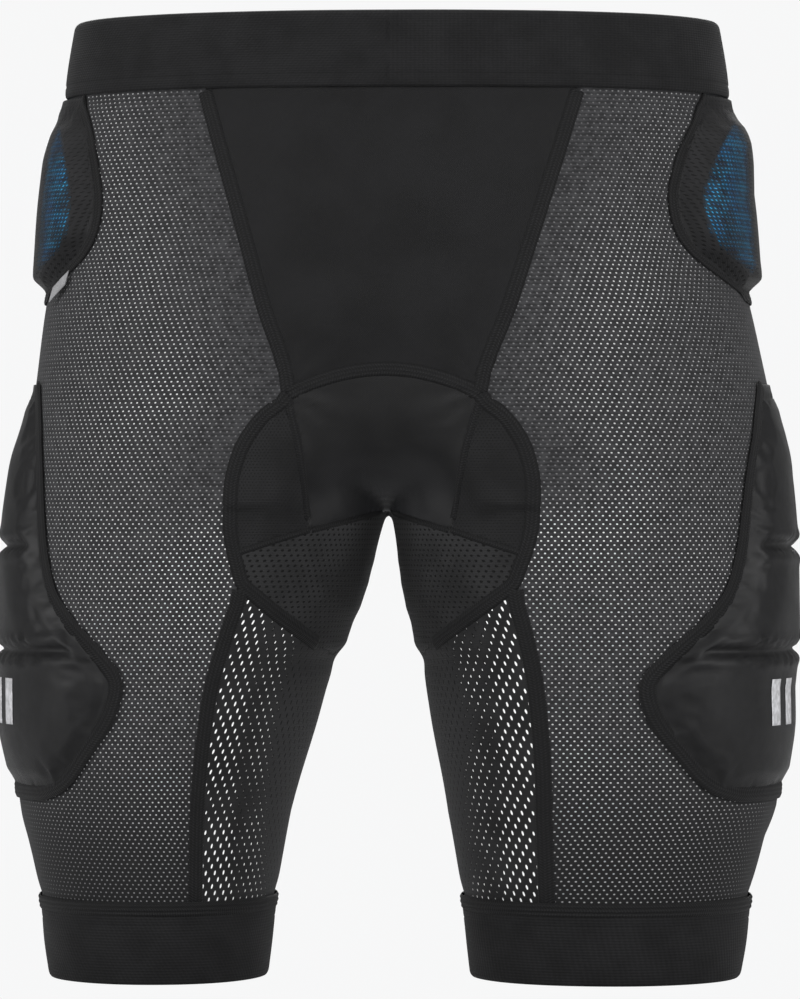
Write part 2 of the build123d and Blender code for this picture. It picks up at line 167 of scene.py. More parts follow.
# ------------------------------------------------------------------ outlines (height, x), front view and back view
FRONT_EDGE = [(40, 90.5), (100, 88.5), (150, 83.5), (185, 75), (200, 70.5), (207, 70.0), (222, 74.0), (238, 77.0),
              (255, 77.0), (273, 73.4), (291, 62.7), (303.5, 49.0), (350, 63.0), (400, 77.8), (430, 86.8), (460, 95.5)]
BACK_EDGE = [(40, 86.0), (100, 82.0), (150, 76.0), (190, 69.0), (207, 70.0), (225, 75.0), (250, 77.0), (273, 73.0),
             (291, 65.0), (303.5, 57.5), (350, 65.0), (400, 76.0), (460, 88.0)]
GUSSET = [(230, 35.0), (240, 37.0), (275, 42.0), (303, 49.0), (320, 51.0)]


def top_arc(ax):
    return 316.5 - 13.0 * (ax / 49.0) ** 2


def lower_chamois(ax):
    return np.clip(172 + 0.80 * (ax - 26), 168, 207)


# ------------------------------------------------------------------ mesh helpers
def new_mesh(name, verts, faces, uv=None, smooth=True):
    """verts in mm. uv: one (u, v) in mm per vertex."""
    me = bpy.data.meshes.new(name)
    me.from_pydata((np.asarray(verts) / 1000.0).tolist(), [], [tuple(int(i) for i in f) for f in faces])
    if uv is not None:
        layer = me.uv_layers.new(name="UVMap")
        idx = np.zeros(len(me.loops), np.int32)
        me.loops.foreach_get("vertex_index", idx)
        layer.data.foreach_set("uv", np.asarray(uv, np.float32)[idx].ravel())
    if smooth:
        me.polygons.foreach_set("use_smooth", [True] * len(me.polygons))
    me.update()
    o = bpy.data.objects.new(name, me)
    bpy.context.scene.collection.objects.link(o)
    return o


def grid_faces(nu, nv, close_u=False):
    f = []
    for j in range(nv - 1):
        for i in range(nu if close_u else nu - 1):
            a = j * nu + i
            b = j * nu + (i + 1) % nu
            f.append((a, b, b + nu, a + nu))
    return f


def evaluated(o):
    dg = bpy.context.evaluated_depsgraph_get()
    me = bpy.data.meshes.new_from_object(o.evaluated_get(dg))
    v = np.zeros(len(me.vertices) * 3)
    me.vertices.foreach_get("co", v)
    faces = [tuple(p.vertices) for p in me.polygons]
    bpy.data.meshes.remove(me)
    return v.reshape(-1, 3) * 1000.0, faces


def drop(o):
    me = o.data
    bpy.data.objects.remove(o)
    bpy.data.meshes.remove(me)


def thicken(o, mm, offset=-1.0):
    m = o.modifiers.new("thickness", "SOLIDIFY")
    m.thickness = mm / 1000.0
    m.offset = offset
    m.use_rim = True
    return m


# ------------------------------------------------------------------ one closed body form, then its skin cut into panels
def stack(zs, loops):
    n = len(loops[0])
    v = np.concatenate([np.column_stack([l, np.full(n, z)]) for z, l in zip(zs, loops)])
    f = grid_faces(n, len(zs), True)
    f.append(tuple(range(n))[::-1])
    f.append(tuple(range((len(zs) - 1) * n, len(zs) * n)))
    return v, f


zs = np.arange(246.01, 508, 3.0)
loops = []
for z in zs:
    ph = np.concatenate([np.linspace(180, -180, 121)])
    x, y = form_xy(z, ph)
    left = np.column_stack([x, y])
    right = np.column_stack([-x, y])[::-1][1:-1]
    loops.append(np.concatenate([left, right]))
pv, pf = stack(zs, loops)
zs = np.arange(-8, 263, 3.0)
lv, lf = stack(zs, [np.column_stack(form_xy(np.minimum(z, ZC), np.linspace(180, -180, 120, endpoint=False))) for z in zs])
rv = lv * np.array([-1, 1, 1])
rf = [tuple(reversed(f)) for f in lf]
verts = np.concatenate([pv, lv, rv])
faces = pf + [tuple(i + len(pv) for i in f) for f in lf] + [tuple(i + len(pv) + len(lv) for i in f) for f in rf]
body = new_mesh("form_tmp", verts, faces)
m = body.modifiers.new("r", "REMESH")
m.mode, m.voxel_size = "VOXEL", 0.0026
m = body.modifiers.new("s", "SMOOTH")
m.factor, m.iterations = 0.5, 14
V, F = evaluated(body)
drop(body)
# back onto the analytic form, except in the saddle between the legs
ax = np.abs(V[:, 0])
keep = smooth01((72 - ax) / 16) * smooth01((V[:, 2] - 222) / 14) * smooth01((306 - V[:, 2]) / 22)
inside = (V[:, 2] > 0) & (V[:, 2] < 503)
target = onto_form(V)
V = V + (target - V) * ((1 - keep) * inside)[:, None]


def wrinkles(P):
    """Small relief of the stretched cloth, in mm along the normal."""
    ax, y, z = np.abs(P[:, 0]), P[:, 1], P[:, 2]
    sx = P[:, 0]
    w = np.zeros(len(P))
    # soft waves over the thigh fronts
    w += 0.55 * np.sin(z / 17.0 + sx / 31.0) * np.exp(-((ax - 120) / 45) ** 2) * smooth01((z - 40) / 40) * smooth01((330 - z) / 60)
    # pulls that fan out from the lower corners of the centre panel
    for sgn in (1, -1):
        d = np.hypot(sx - sgn * 52, z - 306)
        ang = np.arctan2(z - 306, (sx - sgn * 52) * sgn)
        w += 0.5 * np.sin(ang * 13) * np.exp(-(d / 34) ** 2) * (y < 0)
    # short creases just inside the gusset corners
    for k, (cx, cz, amp) in enumerate(((38, 301, 0.8), (34, 294, 0.6), (30, 288, 0.45))):
        w += amp * np.exp(-((ax - cx) / 9) ** 2 - ((z - cz - 0.18 * (ax - cx)) / 2.4) ** 2) * (y < 0)
    # folds at the top of the inner thigh
    for cz in (226, 213, 199, 186):
        w += 0.4 * np.exp(-((ax - 30) / 26) ** 2 - ((z - cz - 0.35 * (ax - 30)) / 3.2) ** 2)
    # faint centre line of the front panel
    w -= 0.22 * np.exp(-(sx / 0.9) ** 2) * (y < 0) * (z > 318)
    # the end of the perforated panel stands out on the inside of each leg
    inner_side = smooth01((62 - ax) / 22)
    w += inner_side * (1.5 * np.exp(-((z - 175) / 5) ** 2) - 0.9 * np.exp(-((z - 165) / 5) ** 2))
    # the cloth is drawn in above the cuffs and below the waistband
    w -= 1.2 * np.exp(-((z - 41) / 7) ** 2)
    w -= 0.9 * np.exp(-((z - 459) / 6) ** 2)
    # the seat creases under the cheeks
    w += 1.1 * np.exp(-((ax - 70) / 40) ** 2 - ((z - 262 + 0.12 * ax) / 6) ** 2) * (y > 20)
    return w


def normals_of(V, F):
    n = np.zeros_like(V)
    Fa = np.array([f if len(f) == 4 else (f[0], f[1], f[2], f[2]) for f in F])
    a, b, c, d = (V[Fa[:, k]] for k in range(4))
    fn = np.cross(c - a, d - b)
    deg = np.linalg.norm(fn, axis=1) < 1e-9
    fn[deg] = np.cross(b[deg] - a[deg], c[deg] - a[deg])
    for k in range(4):
        np.add.at(n, Fa[:, k], fn)
    return n / np.maximum(np.linalg.norm(n, axis=1), 1e-9)[:, None], Fa


N, Fa = normals_of(V, F)
V = V + N * wrinkles(V)[:, None]
N, Fa = normals_of(V, F)
BODY = BVHTree.FromPolygons((V / 1000.0).tolist(), [tuple(int(i) for i in f) for f in F])


def snap(P, lift=0.0):
    """Nearest points of the skin, lifted along its normal (mm)."""
    out = np.zeros_like(P)
    nor = np.zeros_like(P)
    lift = np.broadcast_to(np.asarray(lift, float), (len(P),))
    for i, p in enumerate(P):
        loc, no, idx, dist = BODY.find_nearest(Vector(p / 1000.0))
        nor[i] = no
        out[i] = np.array(loc) * 1000.0 + np.array(no) * lift[i]
    return out, nor


def cast(ax_list, z_list, side, front=True):
    """Points of the skin straight behind or before (x, z) in the front or the back view."""
    pts = []
    for a, z in zip(ax_list, z_list):
        y0, dy = (-0.4, 1.0) if front else (0.4, -1.0)
        loc, no, idx, dist = BODY.ray_cast(Vector((side * a / 1000.0, y0, z / 1000.0)), Vector((0, dy, 0)))
        if loc is not None:
            pts.append(np.array(loc) * 1000.0)
    return np.array(pts)


HIP_EDGE = [(353, 187.0), (359, 183.7), (365, 176.2), (371, 168.6), (379, 159.6), (390, 153.2), (404, 151.2),
            (419, 153.0), (430, 155.2), (438, 157.6), (447, 161.0), (454, 164.4), (459, 166.0)]
C = V[Fa].mean(1)
cax, cy, cz = np.abs(C[:, 0]), C[:, 1], C[:, 2]
o_, i_, f_, b_, axis_, n_ = section(cz)
front_half = cy < 0.5 * (f_ + b_)
edge = np.where(front_half, tab(FRONT_EDGE, cz, 1), tab(BACK_EDGE, cz, 1))
wanted = (cz > 38) & (cz < 463)
window = (cz > 358.5) & (cz < 449) & (cax > tab(HIP_EDGE, cz, 1) + 3.5)
outer = wanted & (cax > edge) & ~window
inner = wanted & (cax <= edge)
centre = inner & (cz > top_arc(np.minimum(cax, 60)))
rest = inner & ~centre
gus = tab(GUSSET, cz, 1)
crotch = rest & (cax < gus) & (cz > 234 + 10 * (1 - cax / 36))
wing = rest & ~crotch & (cz > 235 - 0.32 * (cax - 34)) & (cax > 30)
low = rest & ~crotch & ~wing
thigh = low & (cz > lower_chamois(cax))
legm = low & ~thigh
zones = {}
for side, tag in ((1, "left"), (-1, "right")):
    s = C[:, 0] * side >= 0
    zones["side_mesh_" + tag] = outer & s
    zones["chamois_wing_" + tag] = wing & s & front_half
    zones["seat_wing_" + tag] = wing & s & ~front_half
    zones["inner_thigh_panel_" + tag] = thigh & s
    zones["inner_leg_mesh_" + tag] = legm & s
zones["front_center_panel"] = centre & front_half
zones["back_center_panel"] = centre & ~front_half
zones["crotch_gusset"] = crotch


def panel(name, mask):
    idx = np.nonzero(mask)[0]
    used = np.unique(Fa[idx])
    remap = -np.ones(len(V), int)
    remap[used] = np.arange(len(used))
    P = V[used]
    phi = phi_of(P)
    side = -1.0 if name.endswith("right") else 1.0
    if name.startswith("side_mesh"):
        ref = np.where(phi > 0, arc(P[:, 2], np.full(len(P), 62.0)), arc(P[:, 2], np.full(len(P), -62.0)))
        base = np.where(phi > 0, arc(np.array([250.0]), np.array([62.0]))[0], arc(np.array([250.0]), np.array([-62.0]))[0])
        w = smooth01(np.abs(phi) / 30)
        axis = section(P[:, 2])[4]
        a_front = np.where(phi > 90, np.maximum(axis - np.abs(P[:, 0]), 0), 0)
        a_back = np.where(phi < -90, np.maximum(axis - np.abs(P[:, 0]), 0), 0)
        along = arc(P[:, 2], np.clip(phi, -90, 90)) + a_front - a_back
        u = along + (base - ref) * w - arc(np.array([250.0]), np.array([0.0]))[0] * w - arc(P[:, 2], np.zeros(len(P))) * (1 - w)
    elif name.startswith("inner"):
        ph = np.where(phi < 0, phi + 360, phi)
        q = np.clip(ph, -270, 269.9)
        u = arc(P[:, 2], q) - arc(P[:, 2], np.full(len(P), 180.0))
    else:
        u = P[:, 0]
        if name == "crotch_gusset":
            side = 1.0
    v = P[:, 2].copy()
    uv = np.column_stack([u * side, v])
    keep = [tuple(int(remap[i]) for i in (f if len(f) == 4 else f)) for f in (F[k] for k in idx)]
    ob = new_mesh(name + "_cloth", P, keep, uv)
    return ob, P


def attribute(o, name, values):
    a = o.data.attributes.new(name, "FLOAT", "POINT")
    a.data.foreach_set("value", np.asarray(values, np.float32))


# ------------------------------------------------------------------ node materials
class Nodes:
    def __init__(self, name):
        self.m = bpy.data.materials.new(name)
        self.m.use_nodes = True
        self.t = self.m.node_tree
        self.t.nodes.clear()
        self.out = self.t.nodes.new("ShaderNodeOutputMaterial")
        self.b = self.t.nodes.new("ShaderNodeBsdfPrincipled")
        self.t.links.new(self.b.outputs[0], self.out.inputs[0])
        uv = self.t.nodes.new("ShaderNodeUVMap")
        uv.uv_map = "UVMap"
        sep = self.t.nodes.new("ShaderNodeSeparateXYZ")
        self.t.links.new(uv.outputs[0], sep.inputs[0])
        self.uv, self.u, self.v = uv.outputs[0], sep.outputs[0], sep.outputs[1]

    def put(self, sock, val):
        if isinstance(val, (int, float)):
            sock.default_value = val
        elif isinstance(val, tuple):
            sock.default_value = (*val, 1.0) if len(val) == 3 and len(sock.default_value) == 4 else val
        else:
            self.t.links.new(val, sock)

    def math(self, op, a, b=None, c=None, clamp=False):
        n = self.t.nodes.new("ShaderNodeMath")
        n.operation, n.use_clamp = op, clamp
        for k, x in enumerate((a, b, c)):
            if x is not None:
                self.put(n.inputs[k], x)
        return n.outputs[0]

    def step(self, x, lo, hi, a=0.0, b=1.0):
        n = self.t.nodes.new("ShaderNodeMapRange")
        n.interpolation_type = "SMOOTHSTEP"
        for k, val in enumerate((x, lo, hi, a, b)):
            self.put(n.inputs[k], val)
        return n.outputs[0]

    def mix(self, f, a, b):
        n = self.t.nodes.new("ShaderNodeMix")
        n.data_type = "RGBA"
        self.put(n.inputs[0], f)
        self.put(n.inputs[6], a)
        self.put(n.inputs[7], b)
        return n.outputs[2]

    def noise(self, scale, detail=2.0, vec=None, dims="3D"):
        n = self.t.nodes.new("ShaderNodeTexNoise")
        n.noise_dimensions = dims
        n.inputs["Scale"].default_value = scale
        n.inputs["Detail"].default_value = detail
        if vec is None:
            tc = self.t.nodes.new("ShaderNodeTexCoord")
            vec = tc.outputs["Object"]
        self.t.links.new(vec, n.inputs["Vector"])
        return n.outputs[0]

    def lattice(self, p, q, rx, ry, soft=0.35, jitter=None, shrink=None):
        """1 inside small ovals on a staggered lattice with pitch p along u and row pitch q along v (mm)."""
        u, v = self.u, self.v
        if jitter is not None:
            u = self.math("ADD", u, self.math("MULTIPLY", self.math("SUBTRACT", jitter, 0.5), 0.5))
        rows = self.math("DIVIDE", v, q)
        par = self.math("MULTIPLY", self.math("FLOORED_MODULO", self.math("FLOOR", rows), 2.0), 0.5)
        cu = self.math("SUBTRACT", self.math("FRACT", self.math("ADD", self.math("DIVIDE", u, p), par)), 0.5)
        cv = self.math("SUBTRACT", self.math("FRACT", rows), 0.5)
        a = self.math("POWER", self.math("MULTIPLY", cu, p / rx), 2.0)
        b = self.math("POWER", self.math("MULTIPLY", cv, q / ry), 2.0)
        d = self.math("SQRT", self.math("ADD", a, b))
        if shrink is not None:
            d = self.math("DIVIDE", d, self.math("MAXIMUM", shrink, 0.04))
        return self.step(d, 1 + soft, 1 - soft)

    def bump(self, height, strength, distance, chain=None):
        n = self.t.nodes.new("ShaderNodeBump")
        n.inputs["Strength"].default_value = strength
        n.inputs["Distance"].default_value = distance
        self.t.links.new(height, n.inputs["Height"])
        if chain is not None:
            self.t.links.new(chain, n.inputs["Normal"])
        return n.outputs[0]

    def facing(self, blend=0.5):
        n = self.t.nodes.new("ShaderNodeLayerWeight")
        n.inputs[0].default_value = blend
        return n.outputs[1]

    def attr(self, name):
        n = self.t.nodes.new("ShaderNodeAttribute")
        n.attribute_name = name
        return n.outputs["Fac"]

    def setp(self, **kw):
        names = {"color": "Base Color", "rough": "Roughness", "sheen": "Sheen Weight", "sheen_rough": "Sheen Roughness",
                 "sheen_tint": "Sheen Tint", "spec": "Specular IOR Level", "normal": "Normal", "alpha": "Alpha",
                 "coat": "Coat Weight", "coat_rough": "Coat Roughness", "metal": "Metallic"}
        for k, val in kw.items():
            self.put(self.b.inputs[names[k]], val)


def stretch_knit(name, base, rough=0.62, sheen=0.05, spec=0.16, pitch=0.9, depth=0.00012, vary=0.3, lift=0.0):
    """Fine warp knit: tiny vertical ribs, soft sheen, slow tone variation."""
    k = Nodes(name)
    w = k.math("SINE", k.math("MULTIPLY", k.u, 2 * math.pi / pitch))
    h = k.math("SINE", k.math("MULTIPLY", k.v, 2 * math.pi / (pitch * 1.3)))
    fine = k.math("MULTIPLY", w, h)
    n = k.noise(28.0, 4.0)
    tone = k.step(n, 0.3, 0.7, 1 - vary, 1 + vary)
    # painted light: lift brightens the tone where the per-vertex light attribute is set
    if lift:
        tone = k.math("MULTIPLY", tone, k.math("ADD", 1.0, k.math("MULTIPLY", k.attr("near"), lift)))
    col = k.mix(k.step(fine, -1, 1), tuple(c * 0.8 for c in base), tuple(c * 1.25 for c in base))
    mul = k.t.nodes.new("ShaderNodeVectorMath")
    mul.operation = "SCALE"
    k.t.links.new(col, mul.inputs[0])
    k.t.links.new(tone, mul.inputs[3])
    k.setp(color=mul.outputs[0], rough=k.step(n, 0.3, 0.7, rough - 0.06, rough + 0.06), sheen=sheen, sheen_rough=0.45,
           sheen_tint=(0.9, 0.92, 1.0), spec=spec, normal=k.bump(fine, 0.5, depth))
    return k


def elastic(name, base, pitch_v=1.25, pitch_u=2.2):
    """Woven elastic: fine horizontal ribs crossed by faint vertical cords."""
    k = Nodes(name)
    ribs = k.math("SINE", k.math("MULTIPLY", k.v, 2 * math.pi / pitch_v))
    cords = k.math("SINE", k.math("MULTIPLY", k.u, 2 * math.pi / pitch_u))
    weave = k.math("ADD", k.math("MULTIPLY", ribs, 0.6), k.math("MULTIPLY", cords, 0.4))
    n = k.noise(60.0, 4.0)
    n2 = k.noise(900.0, 2.0)
    tone = k.math("ADD", k.step(n, 0.3, 0.7, 0.8, 1.15), k.math("MULTIPLY", k.math("SUBTRACT", n2, 0.5), 0.6))
    col = k.mix(k.step(weave, -1, 1), tuple(c * 0.75 for c in base), tuple(c * 1.3 for c in base))
    mul = k.t.nodes.new("ShaderNodeVectorMath")
    mul.operation = "SCALE"
    k.t.links.new(col, mul.inputs[0])
    k.t.links.new(tone, mul.inputs[3])
    k.setp(color=mul.outputs[0], rough=0.78, sheen=0.05, sheen_rough=0.5, spec=0.12,
           normal=k.bump(k.math("ADD", weave, k.math("MULTIPLY", n2, 1.2)), 0.6, 0.00016))
    return k


def dotted(name):
    """Charcoal mesh knit with a regular lattice of pale openings. Their brightness is painted light: brightest where
    the cloth faces the eye, dimmer towards the cuff. A painted shade ring darkens the yarn round each opening.
    """
    k = Nodes(name)
    jit = k.noise(35.0, 2.0)
    dots = k.lattice(3.4, 2.13, 0.50, 0.38, 0.35, jit)
    painted_pit_shade = k.lattice(3.4, 2.13, 1.15, 0.78, 0.30, jit)
    # painted light: the openings go from dark to pale as the cloth faces the eye, scaled by a slow noise, by the
    # per-vertex light weight and by height
    face = k.math("SUBTRACT", 1.0, k.facing(0.5))
    bright = k.math("POWER", face, 1.6)
    n = k.noise(9.0, 3.0)
    vary = k.math("MULTIPLY", k.step(n, 0.32, 0.68, 0.55, 1.15), k.math("ADD", 0.10, k.math("MULTIPLY", k.attr("fade"), 0.95)))
    low = k.attr("low")
    painted_dot_light = k.math("MULTIPLY", k.math("MULTIPLY", bright, vary), k.math("ADD", 0.40, k.math("MULTIPLY", low, 0.60)), clamp=True)
    dot_col = k.mix(painted_dot_light, (0.026, 0.026, 0.028), (0.72, 0.72, 0.73))
    yarn = k.math("SINE", k.math("MULTIPLY", k.v, 2 * math.pi / 2.13))
    fine = k.noise(240.0, 2.0)
    base = k.mix(k.step(k.math("ADD", fine, k.math("MULTIPLY", yarn, 0.15)), 0.25, 0.75), (0.016, 0.016, 0.017), (0.037, 0.037, 0.039))
    # painted shade: a dark ring round each opening, deeper where the per-vertex light weight is high
    base = k.mix(k.math("MULTIPLY", painted_pit_shade, k.math("MULTIPLY", k.attr("fade"), 0.55)), base, (0.009, 0.009, 0.0095))
    # the yarn is darker towards the cuff
    base = k.mix(low, (0.0105, 0.0105, 0.011), base)
    k.setp(color=k.mix(dots, base, dot_col), rough=0.75, sheen=0.06, sheen_rough=0.5, spec=0.12,
           normal=k.bump(dots, 0.5, 0.00025))
    return k


def holed(name, base, p, q, rx, ry, see=False, hole=(0.002, 0.002, 0.002), lift=0.0):
    """Open mesh with oval holes. Where asked, a per-vertex attribute says where the pale ground behind shows through
    them, painted as lit; where it is low the holes keep their dark colour as painted shade.
    """
    k = Nodes(name)
    jit = k.noise(30.0, 2.0)
    holes = k.lattice(p, q, rx, ry, 0.22, jit)
    yarn = k.math("SINE", k.math("MULTIPLY", k.v, 2 * math.pi / 0.9))
    n = k.noise(40.0, 3.0)
    painted_light_gain = 1.0 + lift
    body_col = k.mix(k.step(n, 0.3, 0.7), tuple(c * 0.75 for c in base), tuple(c * 1.35 for c in base))
    # painted light: lift brightens the yarn where the per-vertex light attribute is set
    if lift:
        body_col = k.mix(k.attr("near"), body_col, tuple(c * painted_light_gain for c in base))
    # painted light and shade: the pale lit ground in the holes follows the attribute, dark holes elsewhere
    if see:
        rnd = k.noise(26.0, 3.0)
        s = k.math("MULTIPLY", k.attr("see"), k.step(rnd, 0.34, 0.54, 0.4, 1.0))
        open_ = k.lattice(p, q, rx, ry, 0.22, jit, shrink=k.math("POWER", s, 0.55))
        hole_col = k.mix(k.math("MULTIPLY", open_, k.step(s, 0.04, 0.30, 0.0, 1.0)), hole, (0.93, 0.93, 0.93))
    else:
        hole_col = hole
    k.setp(color=k.mix(holes, body_col, hole_col), rough=0.7, sheen=0.05, sheen_rough=0.5, spec=0.14,
           normal=k.bump(k.math("SUBTRACT", k.math("MULTIPLY", yarn, 0.15), holes), 0.6, 0.0004))
    return k


def seam_thread(name, base=(0.0040, 0.0040, 0.0043), light=(0.0118, 0.0118, 0.0125)):
    """Flatlock seam: three needle lines joined by slanted looper threads. u runs across, v along (mm)."""
    k = Nodes(name)
    au = k.math("ABSOLUTE", k.u)
    zig = k.math("SINE", k.math("MULTIPLY", k.math("ADD", k.v, k.math("MULTIPLY", au, 0.55)), 2 * math.pi / 1.45))
    lines = k.math("COSINE", k.math("MULTIPLY", k.u, 2 * math.pi / 2.1))
    f = k.math("ADD", k.math("MULTIPLY", zig, 0.55), k.math("MULTIPLY", lines, 0.45))
    n = k.noise(80.0, 3.0)
    col = k.mix(k.step(k.math("ADD", f, k.math("MULTIPLY", k.math("SUBTRACT", n, 0.5), 0.6)), 0.0, 0.95), base, light)
    k.setp(color=col, rough=0.7, sheen=0.04, spec=0.16, normal=k.bump(f, 0.7, 0.00022))
    return k


MAT = {}
MAT["lycra"] = stretch_knit("smooth_lycra", (0.0062, 0.0062, 0.0066), 0.60, 0.04, 0.13).m
# lift is painted light, set per vertex, round the crotch apex
MAT["gusset"] = stretch_knit("gusset_lycra", (0.0064, 0.0064, 0.0066), 0.52, 0.05, 0.18, 0.8, lift=3.0).m
MAT["seat"] = stretch_knit("seat_lycra", (0.0075, 0.0075, 0.008), 0.62, 0.06, 0.15).m
MAT["elastic"] = elastic("waist_elastic", (0.0085, 0.0085, 0.009)).m
MAT["cuff"] = elastic("cuff_elastic", (0.0085, 0.0085, 0.009), 1.5, 2.6).m
MAT["lining"] = stretch_knit("brushed_lining", (0.018, 0.018, 0.020), 0.85, 0.3, 0.12, 1.4).m
MAT["dots"] = dotted("dotted_mesh").m
MAT["wing"] = holed("fine_perforated", (0.0085, 0.0085, 0.009), 1.9, 1.5, 0.42, 0.34, hole=(0.003, 0.003, 0.003)).m
# lift is painted light set per vertex; the pale holes of the oval hole mesh are painted light and shade
MAT["thigh"] = holed("large_perforated", (0.0135, 0.0135, 0.014), 4.2, 2.65, 0.92, 0.60, hole=(0.0014, 0.0014, 0.0015), lift=1.9).m
MAT["legmesh"] = holed("oval_hole_mesh", (0.0120, 0.0120, 0.0125), 5.9, 3.5, 0.60, 1.28, see=True, hole=(0.0015, 0.0015, 0.0015), lift=0.9).m
MAT["thread"] = seam_thread("flatlock_thread").m


def satin(name):
    """Satin weave cover: tight twill, soft highlights and small dents."""
    k = Nodes(name)
    tw = k.math("SINE", k.math("MULTIPLY", k.math("ADD", k.u, k.math("MULTIPLY", k.v, 0.6)), 2 * math.pi / 0.8))
    n = k.noise(38.0, 3.0)
    n2 = k.noise(170.0, 3.0)
    col = k.mix(k.step(n2, 0.3, 0.7), (0.0043, 0.0043, 0.0047), (0.0070, 0.0070, 0.0075))
    hh = k.math("ADD", k.math("MULTIPLY", n, 1.0), k.math("MULTIPLY", n2, 0.2))
    k.setp(color=col, rough=k.step(n, 0.3, 0.7, 0.43, 0.55), sheen=0.035, sheen_rough=0.35, spec=0.25,
           normal=k.bump(tw, 0.25, 0.0001, k.bump(hh, 0.35, 0.0012)))
    return k


def pocket_mesh(name):
    """Stretch mesh over the insert: openings and thin yarn, so the insert glows through where it lies behind."""
    k = Nodes(name)
    jit = k.noise(35.0, 2.0)
    holes = k.lattice(2.9, 2.1, 0.62, 0.52, 0.3, jit)
    yarn = k.math("SINE", k.math("MULTIPLY", k.u, 2 * math.pi / 0.75))
    n = k.noise(45.0, 3.0)
    col = k.mix(k.step(n, 0.3, 0.7), (0.0075, 0.0075, 0.0080), (0.0130, 0.0130, 0.0140))
    col = k.mix(holes, col, (0.0018, 0.0018, 0.0018))
    ins = k.attr("ins")
    face = k.step(k.facing(0.5), 0.93, 0.70)
    open_ = k.math("MULTIPLY", k.math("ADD", k.math("MULTIPLY", holes, 0.70), 0.28), face)
    geo = k.t.nodes.new("ShaderNodeNewGeometry")      # opaque from inside, where no insert fills the margin
    flat = k.t.nodes.new("ShaderNodeVectorMath")
    flat.operation = "MULTIPLY"
    flat.inputs[1].default_value = (1, 1, 0)
    k.t.links.new(geo.outputs["Position"], flat.inputs[0])
    dot = k.t.nodes.new("ShaderNodeVectorMath")
    dot.operation = "DOT_PRODUCT"
    k.t.links.new(flat.outputs[0], dot.inputs[0])
    k.t.links.new(geo.outputs["Incoming"], dot.inputs[1])
    open_ = k.math("MULTIPLY", open_, k.step(dot.outputs["Value"], -0.045, -0.015))
    k.setp(color=col, rough=0.6, sheen=0.05, sheen_rough=0.4, spec=0.18, alpha=k.math("SUBTRACT", 1.0, k.math("MULTIPLY", open_, ins)),
           normal=k.bump(k.math("SUBTRACT", k.math("MULTIPLY", yarn, 0.15), holes), 0.6, 0.0003))
    return k


def armor(name):
    """Blue moulded foam insert, bright on its ribs and darker in scattered vent cells."""
    k = Nodes(name)
    cells = k.lattice(9.0, 7.5, 2.2, 2.0, 0.35)
    n = k.noise(70.0, 3.0)
    patch = k.step(k.noise(60.0, 1.0), 0.40, 0.55, 0.45, 1.0)
    base = k.mix(k.step(n, 0.3, 0.7), (0.014, 0.27, 0.66), (0.035, 0.50, 0.92))
    base = k.mix(k.math("MULTIPLY", cells, 0.8), base, (0.004, 0.07, 0.22))
    mul = k.t.nodes.new("ShaderNodeVectorMath")
    mul.operation = "SCALE"
    k.t.links.new(base, mul.inputs[0])
    k.t.links.new(patch, mul.inputs[3])
    k.setp(color=mul.outputs[0], rough=0.5, spec=0.3, sheen=0.05,
           normal=k.bump(cells, 0.4, 0.0006, k.bump(k.noise(900.0, 2.0), 0.3, 0.0002)))
    return k


def foam(name, base, rough=0.9):
    k = Nodes(name)
    v = k.t.nodes.new("ShaderNodeTexVoronoi")
    v.inputs["Scale"].default_value = 700.0
    tc = k.t.nodes.new("ShaderNodeTexCoord")
    k.t.links.new(tc.outputs["Object"], v.inputs["Vector"])
    col = k.mix(k.step(v.outputs[0], 0.0, 0.7), tuple(c * 0.6 for c in base), tuple(min(1, c * 1.2) for c in base))
    k.setp(color=col, rough=rough, spec=0.2, sheen=0.2, normal=k.bump(v.outputs[0], 0.6, 0.0004))
    return k


def grip(name):
    k = Nodes(name)
    n = k.noise(120.0, 2.0)
    lines = k.math("SINE", k.math("MULTIPLY", k.v, 2 * math.pi / 4.4))
    k.setp(color=k.mix(k.step(lines, -0.6, 0.6), (0.01, 0.01, 0.011), (0.035, 0.035, 0.038)), rough=k.step(n, 0.3, 0.7, 0.28, 0.42),
           spec=0.5, coat=0.2, coat_rough=0.3, normal=k.bump(lines, 0.8, 0.0005))
    return k


def reflective(name):
    k = Nodes(name)
    v = k.t.nodes.new("ShaderNodeTexVoronoi")
    v.inputs["Scale"].default_value = 1800.0
    tc = k.t.nodes.new("ShaderNodeTexCoord")
    k.t.links.new(tc.outputs["Object"], v.inputs["Vector"])
    n = k.noise(300.0, 3.0)
    k.setp(color=k.mix(k.step(n, 0.3, 0.7), (0.36, 0.36, 0.37), (0.58, 0.58, 0.60)), rough=0.45, spec=0.6, normal=k.bump(v.outputs[0], 0.4, 0.0002))
    return k


def label_cloth(name):
    k = Nodes(name)
    w = k.math("MULTIPLY", k.math("SINE", k.math("MULTIPLY", k.u, 2 * math.pi / 0.7)), k.math("SINE", k.math("MULTIPLY", k.v, 2 * math.pi / 0.7)))
    n = k.noise(160.0, 3.0)
    k.setp(color=k.mix(k.step(k.math("ADD", w, n), 0.0, 1.4), (0.16, 0.16, 0.165), (0.36, 0.36, 0.37)), rough=0.7, sheen=0.3, normal=k.bump(w, 0.5, 0.00012))
    return k


MAT["satin"] = satin("satin_cover").m
MAT["pocket"] = pocket_mesh("pocket_stretch_mesh").m
MAT["armor"] = armor("vented_insert").m
MAT["foam"] = foam("pad_foam", (0.05, 0.05, 0.055)).m
MAT["chamois"] = foam("chamois_fleece", (0.045, 0.05, 0.06), 0.95).m
MAT["grip"] = grip("silicone_dots").m
MAT["reflect"] = reflective("reflective_film").m
MAT["tag"] = label_cloth("woven_tag").m


